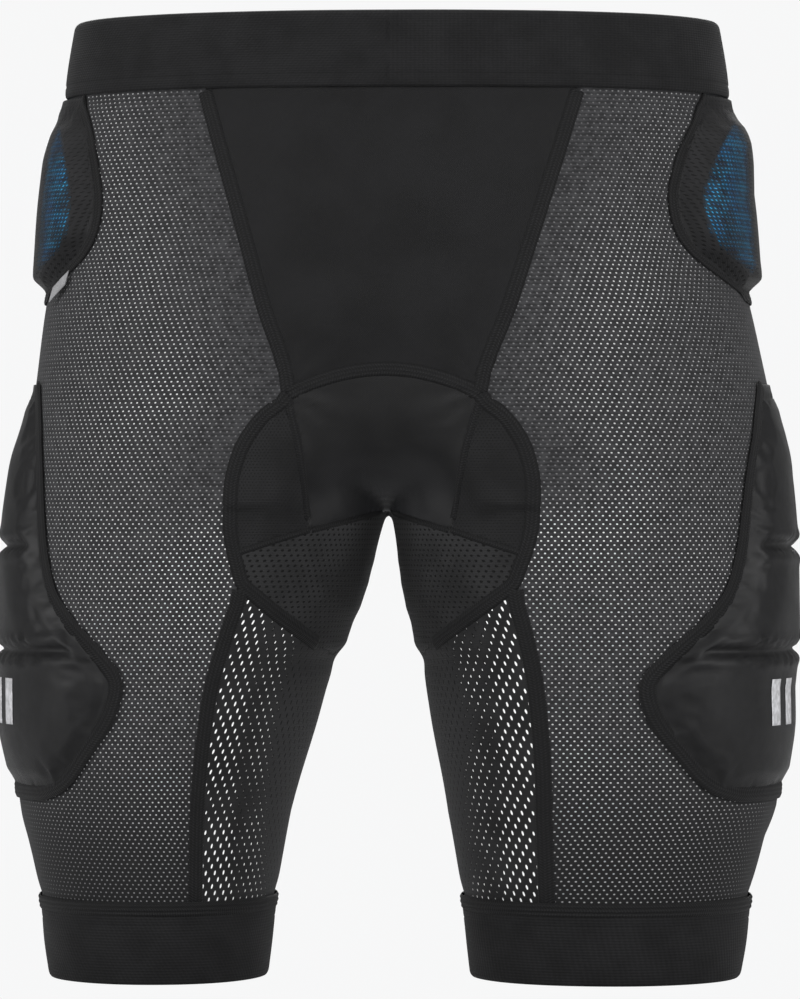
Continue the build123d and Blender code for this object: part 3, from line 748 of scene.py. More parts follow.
# the garment hangs a little to one side: the crotch and the inner legs sit further towards the right leg
DRIFT = np.array([(-10, 15.6), (86, 15.3), (118, 13.6), (150, 11.8), (173, 9.8), (197, 8.0), (235, 5.8), (250, 5.0),
                  (303, 2.6), (400, 0.5), (460, 0.0), (510, 0.0)])


# and its left flank sits a little in at the pocket and the cuff, a little out at the top of the thigh pad
FLANK = np.array([(-10, -1.5), (30, -2.2), (50, -3.2), (74, -3.0), (90, -0.6), (105, -0.6), (130, -2.2), (152, -2.8), (172, -0.8),
                  (185, 0.0), (240, 0.3), (262, 1.2), (285, 3.2), (306, 3.3), (330, 1.0), (350, -0.8), (375, -2.2), (410, -2.3),
                  (428, 0.0), (437, 1.6), (445, 1.6), (453, -1.5), (462, -1.9), (510, -1.9)])


def drift(o):
    if o.get("drifted"):
        return
    n = len(o.data.vertices)
    v = np.zeros(n * 3)
    o.data.vertices.foreach_get("co", v)
    v = v.reshape(-1, 3)
    x, z = v[:, 0] * 1000, v[:, 2] * 1000
    g = np.clip((192 - np.abs(x)) / 142, 0, 1)
    v[:, 0] -= np.interp(z, DRIFT[:, 0], DRIFT[:, 1]) * g / 1000
    v[:, 0] += np.interp(z, FLANK[:, 0], FLANK[:, 1]) * smooth01((x - 110) / 70) / 1000
    hang = np.interp(z, [352, 371, 386, 405, 430, 453, 460], [0, 1.5, 2.6, 3.4, 3.6, 1.6, 0])
    a = np.abs(x)
    v[:, 0] -= hang * np.minimum(smooth01((a - 100) / 50), np.clip((192 - a) / 42, 0, 1)) / 1000
    o.data.vertices.foreach_set("co", v.ravel())
    o.data.update()
    o["drifted"] = 1


def ride(o, body_name):
    drift(o)
    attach(o, body_name)


def use(o, key):
    o.data.materials.clear()
    o.data.materials.append(MAT[key])


def bake(o):
    """Writes the modifiers into the mesh, so that the piece is final."""
    if not len(o.modifiers):
        return
    dg = bpy.context.evaluated_depsgraph_get()
    dg.update()
    me = bpy.data.meshes.new_from_object(o.evaluated_get(dg), preserve_all_data_layers=True, depsgraph=dg)
    old = o.data
    o.modifiers.clear()
    o.data = me
    bpy.data.meshes.remove(old)


def blended(o):
    bake(o)
    drift(o)
    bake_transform(o)


# ------------------------------------------------------------------ the cloth panels
look = {"side_mesh": ("dots", "dotted_mesh"), "chamois_wing": ("wing", "open_mesh"), "seat_wing": ("seat", "black_lycra"),
        "inner_thigh_panel": ("thigh", "open_mesh"), "inner_leg_mesh": ("legmesh", "open_mesh"),
        "front_center_panel": ("lycra", "black_lycra"), "back_center_panel": ("seat", "black_lycra"),
        "crotch_gusset": ("gusset", "black_lycra")}
for name, mask in zones.items():
    ob, P = panel(name, mask)
    base = name.replace("_left", "").replace("_right", "")
    key, slot_name = look[base]
    if base == "inner_leg_mesh":
        a = np.abs(P[:, 0])
        e = np.where(P[:, 1] < 0, tab(FRONT_EDGE, P[:, 2], 1), tab(BACK_EDGE, P[:, 2], 1))
        d = e - a
        # painted light and shade: the holes of the inner leg show the pale form lit near its front edge and dark
        # further in, on the front only
        band = np.interp(d, [0, 17, 23, 27, 33, 40, 46], [1.0, 0.92, 0.15, 0.34, 0.30, 0.03, 0.0])
        attribute(ob, "see", band * (P[:, 1] < -10))
        # painted light: the inner leg mesh is lightened away from its front edge and low on the leg
        attribute(ob, "near", smooth01((d - 24) / 18) * smooth01((190 - P[:, 2]) / 60))
    if base == "side_mesh":
        a = np.abs(P[:, 0])
        # painted light weight of the dotted mesh, rising away from the front seam: it brightens the openings and
        # deepens their painted shade rings; 0.8 on the back
        e = tab(FRONT_EDGE, P[:, 2], 1)
        m = smooth01((P[:, 2] - 226) / 40)
        f = m * smooth01((a - e - 2) / 68) + (1 - m) * smooth01((a - e + 22) / 34)
        attribute(ob, "fade", np.where(P[:, 1] < 0, f, 0.8))
        # weaker painted light in the openings and darker yarn towards the cuff
        attribute(ob, "low", smooth01((P[:, 2] - 50) / 110))
    if base in ("crotch_gusset", "inner_thigh_panel"):
        # painted light: lightens the gusset and inner thigh cloth round the crotch apex, which lies in shade
        r = np.hypot(P[:, 0] * 0.62, P[:, 2] - 247)
        attribute(ob, "near", np.exp(-(r / 21.0) ** 2) * (P[:, 1] < 30))
    use(ob, key)
    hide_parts(name)
    thicken(ob, 0.7)
    if base in ("side_mesh", "inner_thigh_panel", "inner_leg_mesh"):
        blended(ob)
    else:
        ride(ob, "waist")


# ------------------------------------------------------------------ seams
def ribbon(name, pts, half=3.2, height=0.75, mat="thread", tag=None, closed=False, step=1.6, base=0.15, rows=9):
    """A flatlock band along points on the skin (mm)."""
    pts = np.asarray(pts, float)
    if closed:
        pts = np.concatenate([pts, pts[:1]])
    seg = np.linalg.norm(np.diff(pts, axis=0), axis=1)
    s = np.concatenate([[0], np.cumsum(seg)])
    n = max(int(s[-1] / step), 4)
    t = np.linspace(0, s[-1], n + 1)
    P = np.column_stack([np.interp(t, s, pts[:, k]) for k in range(3)])
    for _ in range(6):
        Q = P.copy()
        if closed:
            Q[:-1] = (np.roll(P[:-1], 1, 0) + 2 * P[:-1] + np.roll(P[:-1], -1, 0)) / 4
            Q[-1] = Q[0]
        else:
            Q[1:-1] = (P[:-2] + 2 * P[1:-1] + P[2:]) / 4
        P = Q
    P, Nn = snap(P)
    T = np.gradient(P, axis=0)
    if closed:
        T[0] = T[-1] = P[1] - P[-2]
    T /= np.maximum(np.linalg.norm(T, axis=1), 1e-9)[:, None]
    B = np.cross(Nn, T)
    B /= np.maximum(np.linalg.norm(B, axis=1), 1e-9)[:, None]
    across = np.linspace(-1, 1, rows)
    verts, uv = [], []
    for a in across:
        q, nn = snap(P + B * (a * half))
        h = base + 0.72 * height * (1 - abs(a) ** 4.0) * (0.86 + 0.14 * math.cos(a * half * 2 * math.pi / 2.1))
        verts.append(q + nn * h)
        uv.append(np.column_stack([np.full(len(P), a * half), t]))
    verts = np.concatenate(verts)
    uv = np.concatenate(uv)
    o = new_mesh(name, verts, grid_faces(len(P), rows), uv)
    m = thicken(o, 0.6)
    use(o, mat)
    if tag:
        blended(o)
    else:
        ride(o, "waist")
    return o


def trace(rows, z0, z1, side, front, n=60):
    z = np.linspace(z0, z1, n)
    return cast(tab(rows, z, 1), z, side, front)


for side, tag in ((1, "left"), (-1, "right")):
    ribbon(f"front_seam_{tag}", trace(FRONT_EDGE, 304, 459, side, True), 3.8, 0.8)
    ribbon(f"back_seam_{tag}", trace(BACK_EDGE, 304, 459, side, False), 3.6, 0.8)
    # the chamois dome: side edge, then the lower edge down to the inside of the leg
    z = np.linspace(303.5, 207, 46)
    edge_pts = cast(tab(FRONT_EDGE, z, 1), z, side, True)
    a2 = np.linspace(70, 30, 22)
    low_pts = cast(a2, 172 + 0.80 * (a2 - 26), side, True)
    ribbon(f"chamois_seam_{tag}", np.concatenate([edge_pts, low_pts[1:]]), 3.8, 0.9, tag=tag)
    z = np.linspace(303.5, 207, 46)
    ribbon(f"seat_seam_{tag}", cast(tab(BACK_EDGE, z, 1), z, side, False), 3.4, 0.8, tag=tag)
    z = np.linspace(204, 42, 70)
    ribbon(f"leg_seam_{tag}", cast(tab(FRONT_EDGE, z, 1), z, side, True), 4.4, 0.85, tag=tag)
    ribbon(f"leg_back_seam_{tag}", cast(tab(BACK_EDGE, z, 1), z, side, False), 3.6, 0.8, tag=tag)
    z = np.linspace(301, 240, 30)
    ribbon(f"gusset_seam_{tag}", cast(tab(GUSSET, z, 1), z, side, True), 2.0, 0.45, rows=7)
    a2 = np.linspace(35, 3, 24)
    for front, word in ((True, "front"), (False, "back")):
        ribbon(f"gusset_edge_{word}_{tag}", cast(a2, 234 + 10 * (1 - a2 / 36), side, front), 1.6, 0.5, rows=7)
    a2 = np.linspace(36, 74, 26)
    ribbon(f"wing_edge_{tag}", cast(a2, 235 - 0.32 * (a2 - 34), side, True), 1.6, 0.35, rows=7, tag=tag)
a = np.linspace(-49, 49, 50)
ribbon("chamois_top_seam", cast(a, 316.5 - 13.0 * (a / 49.0) ** 2, 1, True), 3.6, 0.9)
ribbon("seat_top_seam", cast(a * 1.1, 316.5 - 13.0 * (a / 49.0) ** 2, 1, False), 3.4, 0.8)


# ------------------------------------------------------------------ waistband and cuffs
def ring(name, z0, z1, lift_fn, loop_fn, count, rows, mat, body_name, node, thick, ripple=0.25, seed=0.0):
    """A closed elastic band; lift_fn(t) gives the relief from the lower edge t=0 to the upper t=1."""
    tt = np.linspace(0, 1, rows)
    verts, uv = [], []
    for t in tt:
        z = z0 + (z1 - z0) * t
        P, nn, s = loop_fn(z, count)
        wob = ripple * (np.sin(s / 23.0 + seed + 2.0 * t) + 0.6 * np.sin(s / 9.1 + 5.0 * t + seed))
        verts.append(P + nn * (lift_fn(t) + wob)[:, None] if np.ndim(lift_fn(t)) else P + nn * (lift_fn(t) + wob)[:, None])
        uv.append(np.column_stack([s, np.full(count, z)]))
    o = new_mesh(name, np.concatenate(verts), grid_faces(count, rows, True), np.concatenate(uv))
    thicken(o, thick)
    use(o, mat)
    if node:
        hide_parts(node)
    ride(o, body_name)
    return o


def waist_loop(z, count):
    ph = np.linspace(180, -180, 721)
    x, y = form_xy(z, ph)
    P = np.concatenate([np.column_stack([x, y]), np.column_stack([-x, y])[::-1][1:-1]])
    return resample(P, z, count)


def leg_loop(side):
    def loop(z, count):
        x, y = form_xy(z, np.linspace(180, -180, 720, endpoint=False))
        P = np.column_stack([x * side, y])
        if side < 0:
            P = P[::-1]
        return resample(P, z, count)
    return loop


def resample(P, z, count):
    Q = np.concatenate([P, P[:1]])
    s = np.concatenate([[0], np.cumsum(np.linalg.norm(np.diff(Q, axis=0), axis=1))])
    t = np.linspace(0, s[-1], count, endpoint=False)
    R = np.column_stack([np.interp(t, s, Q[:, 0]), np.interp(t, s, Q[:, 1])])
    for _ in range(4):
        R = (np.roll(R, 1, 0) + 2 * R + np.roll(R, -1, 0)) / 4
    T = np.roll(R, -1, 0) - np.roll(R, 1, 0)
    T /= np.linalg.norm(T, axis=1)[:, None]
    nn = np.column_stack([T[:, 1], -T[:, 0]])
    c = R.mean(0)
    if ((R - c) * nn).sum() < 0:
        nn = -nn
    return (np.column_stack([R, np.full(count, z)]), np.column_stack([nn, np.zeros(count)]), t)


def band_lift(t):
    mm = t * 40
    fold = -1.4 * math.exp(-mm / 0.9) - 1.5 * math.exp(-(40 - mm) / 1.0)
    stitch = -0.38 * math.exp(-((mm - 6.5) / 0.7) ** 2)
    crown = 0.35 * math.sin(math.pi * min(max(t, 0), 1))
    return 1.6 + fold + stitch + crown


def cuff_lift(t):
    mm = t * 40
    fold = -1.0 * math.exp(-mm / 0.9)
    stitch = -0.25 * math.exp(-((mm - 30.5) / 0.6) ** 2)
    return 0.7 + fold + stitch + 0.25 * math.sin(math.pi * t)


ring("waistband_band", 460.4, 499.6, band_lift, waist_loop, 460, 61, "elastic", "waist", "waistband", 1.3, 0.22)
ring("waistband_lining_band", 462, 498.5, lambda t: -0.3, waist_loop, 300, 12, "lining", "waist", "waistband_lining", 0.7, 0.1)
for side, tag in ((1, "left"), (-1, "right")):
    ring(f"leg_cuff_{tag}_band", 0.3, 40.5, cuff_lift, leg_loop(side), 260, 51, "cuff", "leg_" + tag, "leg_cuff_" + tag, 1.2, 0.2, side)
    ring(f"cuff_gripper_{tag}_band", 8, 30, lambda t: -1.0 + 0.25 * math.cos(t * 2 * math.pi * 5), leg_loop(side), 200, 41, "grip", "leg_" + tag, "cuff_gripper_" + tag, 0.5, 0.0)

# the hem seam that joins each cuff
for side, tag in ((1, "left"), (-1, "right")):
    P, nn, s = leg_loop(side)(42.0, 240)
    o = None
    rows = 13
    verts, uv = [], []
    for k in range(rows):
        a = -1 + 2 * k / (rows - 1)
        z = 39.2 + a * 3.9
        Q, nq, s = leg_loop(side)(z, 300)
        h = 0.5 + 1.15 * (1 - abs(a) ** 4) * (0.80 + 0.20 * math.cos(a * 3 * math.pi))
        verts.append(Q + nq * h)
        uv.append(np.column_stack([np.full(300, a * 3.9), s]))
    o = new_mesh(f"cuff_seam_{tag}", np.concatenate(verts), grid_faces(300, rows, True), np.concatenate(uv))
    thicken(o, 0.6)
    use(o, "thread")
    ride(o, "leg_" + tag)

# ------------------------------------------------------------------ pads: grids over the outside of the form
def phi_at(z, x):
    out, inner, front, back, axis, n = section(z)
    t = np.clip((x - axis) / (out - axis), 0.0, 0.9999)
    return np.degrees(np.arccos(t ** (n / 2)))


HIP_OUT = [(353, 2.6), (357, 5.8), (362, 8.6), (372, 10.6), (400, 11.6), (425, 10.6), (440, 7.3), (450, 3.3), (459, 2.4)]
THIGH_OUT = [(97, 2.6), (104, 5.5), (118, 8.2), (140, 9.8), (200, 10.4), (235, 10.2), (265, 8.8), (285, 6.0), (300, 3.9), (311, 2.2)]
THIGH_EDGE = [(96, 188.0), (104, 168.0), (120, 155.0), (140, 141.0), (155, 137.0), (172, 150.0), (186, 164.0),
              (204, 176.0), (230, 181.0), (265, 183.5), (291, 185.5), (311, 187.5)]


def pad_points(zs, edge, trim, cols, side):
    """Form points, plan normals, chart position and distance (mm) to the nearest side edge."""
    Z = np.repeat(np.asarray(zs)[:, None], cols, 1)
    x = np.minimum(tab(edge, Z, 1) + trim, section(Z)[0] - 2.0)
    ph = phi_at(Z, x)
    t = np.linspace(-1, 1, cols)[None, :]
    t = np.sign(t) * np.abs(t) ** 1.0
    PH = -ph * t
    X, Y = form_xy(Z, PH)
    e = 0.5
    Xa, Ya = form_xy(Z, PH - e)
    Xb, Yb = form_xy(Z, PH + e)
    tx, ty = Xb - Xa, Yb - Ya
    L = np.hypot(tx, ty)
    # phi runs from outside towards the front, so the outward normal is (-ty, tx)
    NX, NY = -ty / L, tx / L
    U = arc(Z, PH)
    d = np.minimum(U.max(1, keepdims=True) - U, U - U.min(1, keepdims=True))
    P = np.stack([X * side, Y, Z], -1)
    Nn = np.stack([NX * side, NY, np.zeros_like(NX)], -1)
    return P, Nn, U, d


def orient(o, side):
    if side < 0:
        o.data.flip_normals()


def puff(o, pins, pressure=4.0, cap=2.2, shrink=-0.03, frames=20, stiff=8.0):
    """Lets the cloth swell between its stitched lines, then keeps the result. pins: weight 0-1 per vertex."""
    g = o.vertex_groups.new(name="stitched")
    w = np.clip(pins, 0, 1)
    for lvl in np.unique(np.round(w, 1)):
        idx = np.nonzero(np.round(w, 1) == lvl)[0]
        if lvl > 0:
            g.add(idx.tolist(), float(lvl), "REPLACE")
    m = o.modifiers.new("cloth", "CLOTH")
    s = m.settings
    s.quality = 6
    s.mass = 0.3
    s.tension_stiffness = s.compression_stiffness = stiff
    s.shear_stiffness = stiff * 0.6
    s.bending_stiffness = 0.6
    s.air_damping = 2.0
    s.vertex_group_mass = "stitched"
    s.shrink_min = shrink
    s.use_pressure = True
    s.uniform_pressure_force = pressure
    s.effector_weights.gravity = 0.0
    m.collision_settings.use_collision = False
    m.collision_settings.use_self_collision = False
    m.point_cache.frame_start, m.point_cache.frame_end = 1, frames
    sc = bpy.context.scene
    for f in range(1, frames + 1):
        sc.frame_set(f)
    dg = bpy.context.evaluated_depsgraph_get()
    ev = o.evaluated_get(dg)
    n = len(o.data.vertices)
    a = np.zeros(n * 3)
    b = np.zeros(n * 3)
    o.data.vertices.foreach_get("co", a)
    ev.data.vertices.foreach_get("co", b)
    o.modifiers.remove(m)
    sc.frame_set(1)
    a, b = a.reshape(-1, 3), b.reshape(-1, 3)
    d = (b - a) * 1000.0
    d[~np.isfinite(d).all(1)] = 0
    L = np.linalg.norm(d, axis=1)
    d *= np.minimum(1.0, cap / np.maximum(L, 1e-6))[:, None]
    print("puff", o.name, "moved up to", round(float(np.minimum(L, 1e6).max()), 2), "mm, kept up to", cap)
    o.data.vertices.foreach_set("co", (a + d / 1000.0).ravel())
    o.data.update()
    o.vertex_groups.clear()


def thigh_height(Z, U, d, S=None):
    """Relief of the thigh pad: stitched flange, bevel, three blocks with flex grooves, and soft facets."""
    top = tab(THIGH_OUT, Z, 1)
    flange = 1.3
    s = smooth01((d - 6.0) / 10.0)
    h = flange + np.maximum(top - flange, 0.3) * (0.62 * s + 0.38 * smooth01((d - 8) / 34))
    deep = smooth01((d - 11.0) / 7.0)
    for g in (172.0, 226.0):
        line = Z - g - 0.5 * np.sin(U / 17.0)
        h -= deep * (3.2 * np.exp(-(line / 2.1) ** 2) - 0.8 * np.exp(-((np.abs(line) - 6.5) / 2.6) ** 2))
    # facets: each block turns a broad flat face outwards, with a soft ridge where two faces meet
    for (za, ua, amp) in ((262.0, 30.0, 1.1), (199.0, 34.0, 1.1), (136.0, 44.0, 0.9)):
        ridge = np.abs(np.abs(U) - ua - 0.22 * (Z - za))
        h += deep * amp * (np.exp(-ridge / 9.0) - 0.45) * np.exp(-((Z - za) / 24.0) ** 2)
    return h, s


def hip_height(Z, d):
    top = tab(HIP_OUT, Z, 1)
    s = smooth01((d - 6.0) / 12.0)
    return 1.2 + np.maximum(top - 1.2, 0.2) * s, s


def grid_object(name, P, U, V2):
    r, c = P.shape[:2]
    return new_mesh(name, P.reshape(-1, 3), grid_faces(c, r), np.column_stack([U.ravel(), V2.ravel()]))


def solid_grid(name, top, low, U, Z):
    """A closed body between two grids of the same shape."""
    r, c = top.shape[:2]
    n = r * c
    f = grid_faces(c, r)
    f += [tuple(i + n for i in reversed(q)) for q in grid_faces(c, r)]
    for i in range(c - 1):
        f.append((i + 1, i, i + n, i + 1 + n))
        k = (r - 1) * c + i
        f.append((k, k + 1, k + 1 + n, k + n))
    for j in range(r - 1):
        a, b = j * c, (j + 1) * c
        f.append((a, b, b + n, a + n))
        a, b = j * c + c - 1, (j + 1) * c + c - 1
        f.append((b, a, a + n, b + n))
    uv = np.column_stack([np.tile(U.ravel(), 2), np.tile(Z.ravel(), 2)])
    return new_mesh(name, np.concatenate([top.reshape(-1, 3), low.reshape(-1, 3)]), f, uv)


COVERS = {}
for side, tag in ((1, "left"), (-1, "right")):
    # ---- thigh pad cover
    zs = np.linspace(96.5, 310.0, 135)
    P, Nn, U, d = pad_points(zs, THIGH_EDGE, -3.5, 101, side)
    ends = np.minimum(P[..., 2] - 96.5, 310.0 - P[..., 2])
    d = np.minimum(d, ends * 1.1)
    h, s = thigh_height(P[..., 2], U, d)
    top = P + Nn * h[..., None]
    o = grid_object(f"thigh_cover_{tag}", top, U, P[..., 2])
    orient(o, side)
    pins = 1 - smooth01((d - 4.0) / 3.0) * (1 - np.exp(-((P[..., 2] - 172) / 2.6) ** 2)) * (1 - np.exp(-((P[..., 2] - 226) / 2.6) ** 2))
    puff(o, pins.ravel(), 4.0, 0.9)
    use(o, "satin")
    thicken(o, 0.6)
    bake(o)
    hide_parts("thigh_pad_cover_" + tag)
    blended(o)
    COVERS[tag] = (P, Nn, h)
    # ---- thigh pad foam, three blocks
    k = 0
    for (za, zb) in ((104.0, 169.0), (175.0, 223.0), (229.0, 300.0)):
        zs = np.linspace(za, zb, 26)
        P, Nn, U, d = pad_points(zs, THIGH_EDGE, 8.0, 41, side)
        d2 = np.minimum(d, np.minimum(P[..., 2] - za, zb - P[..., 2])) + 5.0
        topz = tab(THIGH_OUT, P[..., 2], 1)
        hh = 1.6 + np.maximum(topz - 3.2 - 1.6, 0.2) * smooth01((d2 - 4) / 9.0)
        o = solid_grid(f"thigh_foam_{tag}_{k}", P + Nn * hh[..., None], P + Nn * 1.3, U, P[..., 2])
        orient(o, side)
        use(o, "foam")
        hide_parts("thigh_pad_foam_" + tag)
        blended(o)
        k += 1
    # ---- hip pocket cover
    zs = np.linspace(353.5, 459.0, 76)
    P, Nn, U, d = pad_points(zs, HIP_EDGE, -5.0, 101, side)
    d = np.minimum(d, (P[..., 2] - 353.5) * 1.3)
    h, s = hip_height(P[..., 2], d)
    top = P + Nn * h[..., None]
    o = grid_object(f"hip_cover_{tag}", top, U, P[..., 2])
    orient(o, side)
    pins = 1 - smooth01((d - 2.0) / 3.0) * smooth01((457 - P[..., 2]) / 4)
    puff(o, pins.ravel(), 3.0, 0.7)
    xin = np.interp(P[..., 2], [362, 369, 378, 389, 400, 420, 434, 447, 452, 456], [196, 181, 171, 163.5, 162, 163.5, 165.6, 168.5, 173, 186])
    xin = np.maximum(xin, tab(HIP_EDGE, P[..., 2], 1) + 13.0)
    attribute(o, "ins", (smooth01((np.abs(top[..., 0]) - xin) / 2.5) * smooth01((449.5 - P[..., 2]) / 5)).ravel())
    use(o, "pocket")
    thicken(o, 0.5)
    bake(o)
    o.visible_shadow = False
    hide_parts("hip_pocket_" + tag)
    ride(o, "waist")
    # ---- hip insert
    zs = np.linspace(363.5, 450.0, 52)
    P, Nn, U, d = pad_points(zs, HIP_EDGE, 8.5, 71, side)
    d2 = np.minimum(d, np.minimum(P[..., 2] - 363.5, 450.0 - P[..., 2]) * 1.2)
    topz = tab(HIP_OUT, P[..., 2], 1) - 1.6
    hh = 1.6 + np.maximum(topz - 1.6, 0.1) * np.sqrt(np.clip(smooth01((d2) / 9.0), 0, 1))
    hh = np.minimum(hh, hip_height(P[..., 2], np.minimum(d + 13.5, (P[..., 2] - 353.5) * 0.9))[0] - 1.5)
    hh = np.maximum(hh, 1.25)
    for g in (384.0, 405.0, 426.0):
        hh -= 0.7 * np.exp(-((P[..., 2] - g) / 1.6) ** 2) * smooth01((d2 - 5) / 5) * (hh > 4)
    o = solid_grid(f"hip_insert_{tag}", P + Nn * hh[..., None], P + Nn * 1.0, U, P[..., 2])
    orient(o, side)
    use(o, "armor")
    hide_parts("hip_armor_" + tag)
    ride(o, "hip_armor_" + tag)
    # ---- lining frame behind the pocket
    zs = np.linspace(352, 457.0, 40)
    P, Nn, U, d = pad_points(zs, HIP_EDGE, -3.0, 81, side)
    dd = np.minimum(d, np.minimum(P[..., 2] - 352, 457 - P[..., 2]))
    keep_v = (dd <= 7.5).ravel()
    o = grid_object(f"pocket_lining_{tag}", P + Nn * (-2.9), U, P[..., 2])
    orient(o, side)
    bm_faces = [tuple(p.vertices) for p in o.data.polygons]
    vv = (P + Nn * (-2.9)).reshape(-1, 3)
    uvv = np.column_stack([U.ravel(), P[..., 2].ravel()])
    drop(o)
    o = new_mesh(f"pocket_lining_{tag}", vv, [q for q in bm_faces if all(keep_v[i] for i in q)], uvv)
    use(o, "lining")
    thicken(o, 0.7)
    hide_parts("hip_pocket_lining_" + tag)
    ride(o, "waist")


def outline_ribbon(name, edge, z0, z1, side, lift, half, tag, base, close_low=True, height=0.75, trim=1.5):
    """The flatlock band round a pad: down its front edge, round the lower end, up the back edge."""
    zf = np.linspace(z1, z0, 90)
    x = np.minimum(tab(edge, zf, 1) + trim, section(zf)[0] - 2.0)
    ph = phi_at(zf, x)
    X1, Y1 = form_xy(zf, ph)
    X2, Y2 = form_xy(zf[::-1], -ph[::-1])
    mid_ph = np.linspace(ph[-1], -ph[-1], 24)[1:-1]
    Xm, Ym = form_xy(np.full(22, z0), mid_ph)
    pts = np.concatenate([np.column_stack([X1, Y1, zf]), np.column_stack([Xm, Ym, np.full(22, z0)]),
                          np.column_stack([X2, Y2, zf[::-1]])])
    pts[:, 0] *= side
    return pts


for side, tag in ((1, "left"), (-1, "right")):
    pts = outline_ribbon("", HIP_EDGE, 355.5, 459.0, side, 0, 0, tag, 0, trim=-3.0)
    ribbon(f"hip_seam_{tag}", pts, 3.4, 0.8, base=1.1)
    pts = outline_ribbon("", THIGH_EDGE, 98.5, 309.0, side, 0, 0, tag, 0, trim=-1.5)
    ribbon(f"thigh_seam_{tag}", pts, 4.2, 0.9, tag=tag, base=1.5)

# ------------------------------------------------------------------ tailbone pad: shield outline on the back
TAIL = np.array([(-20.0, 323.0), (20.0, 323.0), (40.0, 385.0), (36.0, 411.0), (-36.0, 411.0), (-40.0, 385.0)])


def edge_distance(x, z, poly):
    """Distance to the outline, positive inside (convex, counter-clockwise)."""
    d = np.full(x.shape, 1e9)
    for k in range(len(poly)):
        a, b = poly[k], poly[(k + 1) % len(poly)]
        e = b - a
        L = np.hypot(*e)
        d = np.minimum(d, (e[0] * (z - a[1]) - e[1] * (x - a[0])) / L)
    return d


def tail_grid(inset, rows, cols):
    """A grid that fills the shield, wider in the middle, with rounded corners."""
    zs = np.linspace(323 + inset, 411 - inset, rows)
    half = np.interp(zs, [323, 385, 411], [20, 40, 36]) - inset
    r = 9.0
    for zc, sgn in ((323 + inset, 1), (411 - inset, -1)):
        q = np.clip((zs - zc) * sgn, 0, r)
        half = half - np.where((zs - zc) * sgn < r, r - np.sqrt(np.maximum(r * r - (r - q) ** 2, 0)), 0)
    t = np.linspace(-1, 1, cols)
    X = t[None, :] * half[:, None]
    Z = np.repeat(zs[:, None], cols, 1)
    Y = np.zeros_like(X)
    for i in range(rows):
        for j in range(cols):
            loc, no, idx, dist = BODY.ray_cast(Vector((X[i, j] / 1000, 0.4, Z[i, j] / 1000)), Vector((0, -1, 0)))
            Y[i, j] = loc[1] * 1000 if loc is not None else 105.0
    D = np.minimum(edge_distance(X, Z, TAIL), np.minimum(Z - 323, 411 - Z)) - inset
    return X, Y, Z, np.maximum(D, 0)


X, Y, Z, D = tail_grid(0.0, 81, 61)
s = smooth01((D - 4.0) / 6.0)
h = 1.0 + 5.0 * s
for g in (345.0, 367.0, 389.0):
    h -= 2.6 * s * np.exp(-((Z - g - 0.004 * X * X) / 2.0) ** 2)
P = np.stack([X, Y + h, Z], -1)
o = new_mesh("tail_cover", P.reshape(-1, 3), [tuple(reversed(q)) for q in grid_faces(61, 81)], np.column_stack([X.ravel(), Z.ravel()]))
pins = 1 - smooth01((D - 3.0) / 3.0)
for g in (345.0, 367.0, 389.0):
    pins = np.maximum(pins, np.exp(-((Z - g - 0.004 * X * X) / 1.8) ** 2))
puff(o, pins.ravel(), 3.0, 0.7)
use(o, "satin")
thicken(o, 0.5)
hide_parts("tailbone_pad_cover")
ride(o, "waist")
X, Y, Z, D = tail_grid(5.0, 41, 31)
hh = 1.2 + 3.2 * smooth01(D / 5.0)
o = solid_grid("tail_foam", np.stack([X, Y + hh, Z], -1), np.stack([X, Y + 0.9, Z], -1), X, Z)
o.data.flip_normals()
use(o, "foam")
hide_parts("tailbone_pad_foam")
ride(o, "waist")
zz = np.concatenate([np.linspace(409, 325, 40)])
half = np.interp(zz, [323, 385, 411], [20, 40, 36]) - 1.5
loop = [(h_, z_) for h_, z_ in zip(half, zz)] + [(x_, 324.5) for x_ in np.linspace(half[-1] - 3, -half[-1] + 3, 12)] \
    + [(-h_, z_) for h_, z_ in zip(half[::-1], zz[::-1])] + [(x_, 409.5) for x_ in np.linspace(-half[0] + 3, half[0] - 3, 22)]
pts = []
for x_, z_ in loop:
    loc, no, idx, dist = BODY.ray_cast(Vector((x_ / 1000, 0.4, z_ / 1000)), Vector((0, -1, 0)))
    pts.append(np.array(loc) * 1000.0)
ribbon("tail_seam", np.array(pts), 2.4, 0.6, closed=True, base=0.9)

# ------------------------------------------------------------------ chamois pad inside the crotch
PATH = np.array([(-110.0, 312.0), (-101.0, 290.0), (-85.0, 268.0), (-50.0, 251.5), (0.0, 246.6), (52.0, 253.0), (86.0, 272.0), (106.0, 299.0)])
seg = np.concatenate([[0], np.cumsum(np.linalg.norm(np.diff(PATH, axis=0), axis=1))])
tt = np.linspace(4, seg[-1] - 4, 90)
py = np.interp(tt, seg, PATH[:, 0])
pz = np.interp(tt, seg, PATH[:, 1])
for _ in range(12):
    py[1:-1] = (py[:-2] + 2 * py[1:-1] + py[2:]) / 4
    pz[1:-1] = (pz[:-2] + 2 * pz[1:-1] + pz[2:]) / 4
ty, tz = np.gradient(py), np.gradient(pz)
L = np.hypot(ty, tz)
ny, nz = -tz / L, ty / L
py = py + SHIFT
cols = 33
xx = np.linspace(-31, 31, cols)
edge_d = np.minimum(31 - np.abs(xx)[None, :], np.minimum(tt - tt[0], tt[-1] - tt)[:, None])
th = 8.0 * smooth01(edge_d / 7.0) * 1.0
th = th - 2.6 * np.exp(-((xx[None, :]) / 2.2) ** 2) * smooth01(edge_d / 12) - 2.0 * np.exp(-((np.abs(xx)[None, :] - 17) / 1.8) ** 2) * smooth01(edge_d / 12)
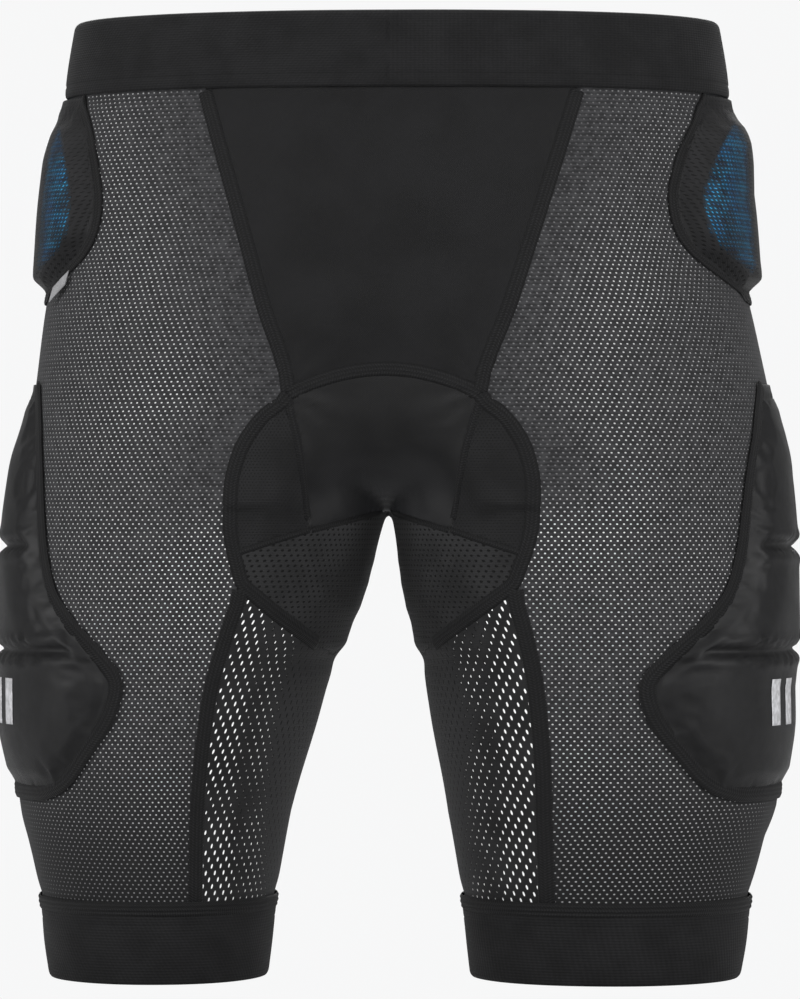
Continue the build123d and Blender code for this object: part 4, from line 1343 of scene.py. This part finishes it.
base = np.stack([np.repeat(xx[None, :], 90, 0), py[:, None] + 0 * xx, pz[:, None] + 0 * xx], -1).reshape(-1, 3)
on, nn = snap(base)
on, nn = on.reshape(90, cols, 3), nn.reshape(90, cols, 3)
for _ in range(10):
    on[1:-1, 1:-1] = (on[:-2, 1:-1] + on[2:, 1:-1] + on[1:-1, :-2] + on[1:-1, 2:]) / 4
    nn[1:-1, 1:-1] = (nn[:-2, 1:-1] + nn[2:, 1:-1] + nn[1:-1, :-2] + nn[1:-1, 2:]) / 4
nn /= np.linalg.norm(nn, axis=2, keepdims=True)
lowg = on - nn * 2.6
topg = on - nn * (2.6 + th)[..., None]
U = np.repeat(xx[None, :], 90, 0)
W = np.repeat(tt[:, None], cols, 1)
o = solid_grid("chamois_body", topg, lowg, U, W)
use(o, "chamois")
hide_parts("chamois_pad")
ride(o, "waist")

# ------------------------------------------------------------------ small blank tag under the right pocket
rows, cols = 9, 17
xc, zc = 173.4, 360.6
xi = xc - 5.6
y_in = float(cast([xi], [zc], -1, True)[0][1])
verts, uv = [], []
for j in range(rows):
    for i in range(cols):
        a, b = i / (cols - 1) - 0.5, j / (rows - 1) - 0.5
        x = xc - 9.9 * a - 2.4 * b           # the long side climbs towards the middle of the shorts
        z = zc + 8.6 * a + 7.6 * b
        ys = float(cast([x], [z], -1, True)[0][1])
        y = y_in + 0.55 * (ys - y_in)
        y = min(y, ys) - 3.6 - 0.5 * math.sin(4.0 * a + 1.0) - 0.35 * math.cos(5 * b)
        verts.append((-x, y, z))
        uv.append((a * 16.0, b * 8.0))
o = new_mesh("blank_tag", np.array(verts), grid_faces(cols, rows), np.array(uv))
use(o, "tag")
thicken(o, 0.4, 0)
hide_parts("fabric_tag")
ride(o, "waist")

# ------------------------------------------------------------------ two plain upright reflective bars on each thigh pad
for side, tag in ((1, "left"), (-1, "right")):
    P, Nn, h = COVERS[tag]
    tree = BVHTree.FromPolygons(((P + Nn * (h + 0.8)[..., None]).reshape(-1, 3) / 1000.0).tolist(), grid_faces(P.shape[1], P.shape[0]))
    for k, (pa, pb) in enumerate(((33.6, 27.4), (22.6, 16.4))):
        verts, uv = [], []
        cols, rows = 7, 15
        for j in range(rows):
            for i in range(cols):
                ph = pa + (pb - pa) * i / (cols - 1)
                z = 133.5 + 24.0 * j / (rows - 1)
                x, y = form_xy(z, ph)
                loc, no, idx, dist = tree.find_nearest(Vector((float(x) * side * 1.05 / 1000, float(y) * 1.05 / 1000, z / 1000)))
                p = np.array(loc) * 1000
                no = np.array(no)
                if no[0] * side < 0:
                    no = -no
                verts.append(p + no * 0.3)
                uv.append((i * 1.2, j * 1.7))
        o = new_mesh(f"reflective_bar_{tag}_{k}", np.array(verts), grid_faces(cols, rows), np.array(uv))
        use(o, "reflect")
        thicken(o, 0.15, 0)
        blended(o)

# ------------------------------------------------------------------ camera, light, ground
AMBIENT = 0.32
floor_mat = Nodes("ground")
floor_mat.setp(color=(0.55, 0.55, 0.555), rough=0.9, spec=0.05)
lp = floor_mat.t.nodes.new("ShaderNodeLightPath")
em = floor_mat.t.nodes.new("ShaderNodeEmission")
em.inputs[0].default_value = (0.93, 0.932, 0.935, 1)
mx = floor_mat.t.nodes.new("ShaderNodeMixShader")
floor_mat.t.links.new(lp.outputs["Is Camera Ray"], mx.inputs[0])
floor_mat.t.links.new(floor_mat.b.outputs[0], mx.inputs[1])
floor_mat.t.links.new(em.outputs[0], mx.inputs[2])
floor_mat.t.links.new(mx.outputs[0], floor_mat.out.inputs[0])
floor = new_mesh("floor", [(-9000, -9000, -0.5), (9000, -9000, -0.5), (9000, 9000, -0.5), (-9000, 9000, -0.5)], [(0, 1, 2, 3)],
                 [(0, 0), (1, 0), (1, 1), (0, 1)])
floor.data.materials.append(floor_mat.m)

world = bpy.data.worlds.new("studio")
bpy.context.scene.world = world
world.use_nodes = True
wt = world.node_tree
bg = wt.nodes["Background"]
bg.inputs[0].default_value = (0.93, 0.932, 0.935, 1)
lp = wt.nodes.new("ShaderNodeLightPath")
mr = wt.nodes.new("ShaderNodeMapRange")
mr.inputs[3].default_value, mr.inputs[4].default_value = AMBIENT, 1.0
wt.links.new(lp.outputs["Is Camera Ray"], mr.inputs[0])
wt.links.new(mr.outputs[0], bg.inputs[1])


def area(name, loc, target, size, size_y, power):
    d = bpy.data.lights.new(name, "AREA")
    d.shape, d.size, d.size_y, d.energy = "RECTANGLE", size, size_y, power
    o = bpy.data.objects.new(name, d)
    bpy.context.scene.collection.objects.link(o)
    o.location = loc
    o.rotation_euler = (Vector(target) - Vector(loc)).to_track_quat("-Z", "Y").to_euler()
    return o


area("key_left", (-2.0, -1.5, 1.1), (0, 0, 0.25), 1.0, 1.6, 42)
area("key_right", (2.0, -1.5, 1.1), (0, 0, 0.25), 1.0, 1.6, 42)
area("front", (0.0, -3.2, 1.6), (0, 0, 0.25), 1.2, 1.0, 22)
area("low_fill", (-0.1, -2.4, 0.16), (0, 0, 0.22), 0.9, 0.25, 5)
area("top", (0, 0.4, 2.2), (0, 0, 0.3), 1.6, 1.2, 22)
area("back", (0, 3.0, 1.4), (0, 0, 0.25), 1.8, 1.4, 40)

cam = bpy.data.cameras.new("camera")
cam_o = bpy.data.objects.new("camera", cam)
bpy.context.scene.collection.objects.link(cam_o)
bpy.context.scene.camera = cam_o
az = math.radians(2.5)
cam_o.location = (3.0 * math.sin(az), -3.0 * math.cos(az), 0.25)
cam_o.rotation_euler = (math.radians(90), 0, az)
cam.lens, cam.sensor_width = 204.5, 36.0
cam.shift_x = 0.0005
bpy.context.scene.view_settings.view_transform = "Standard"
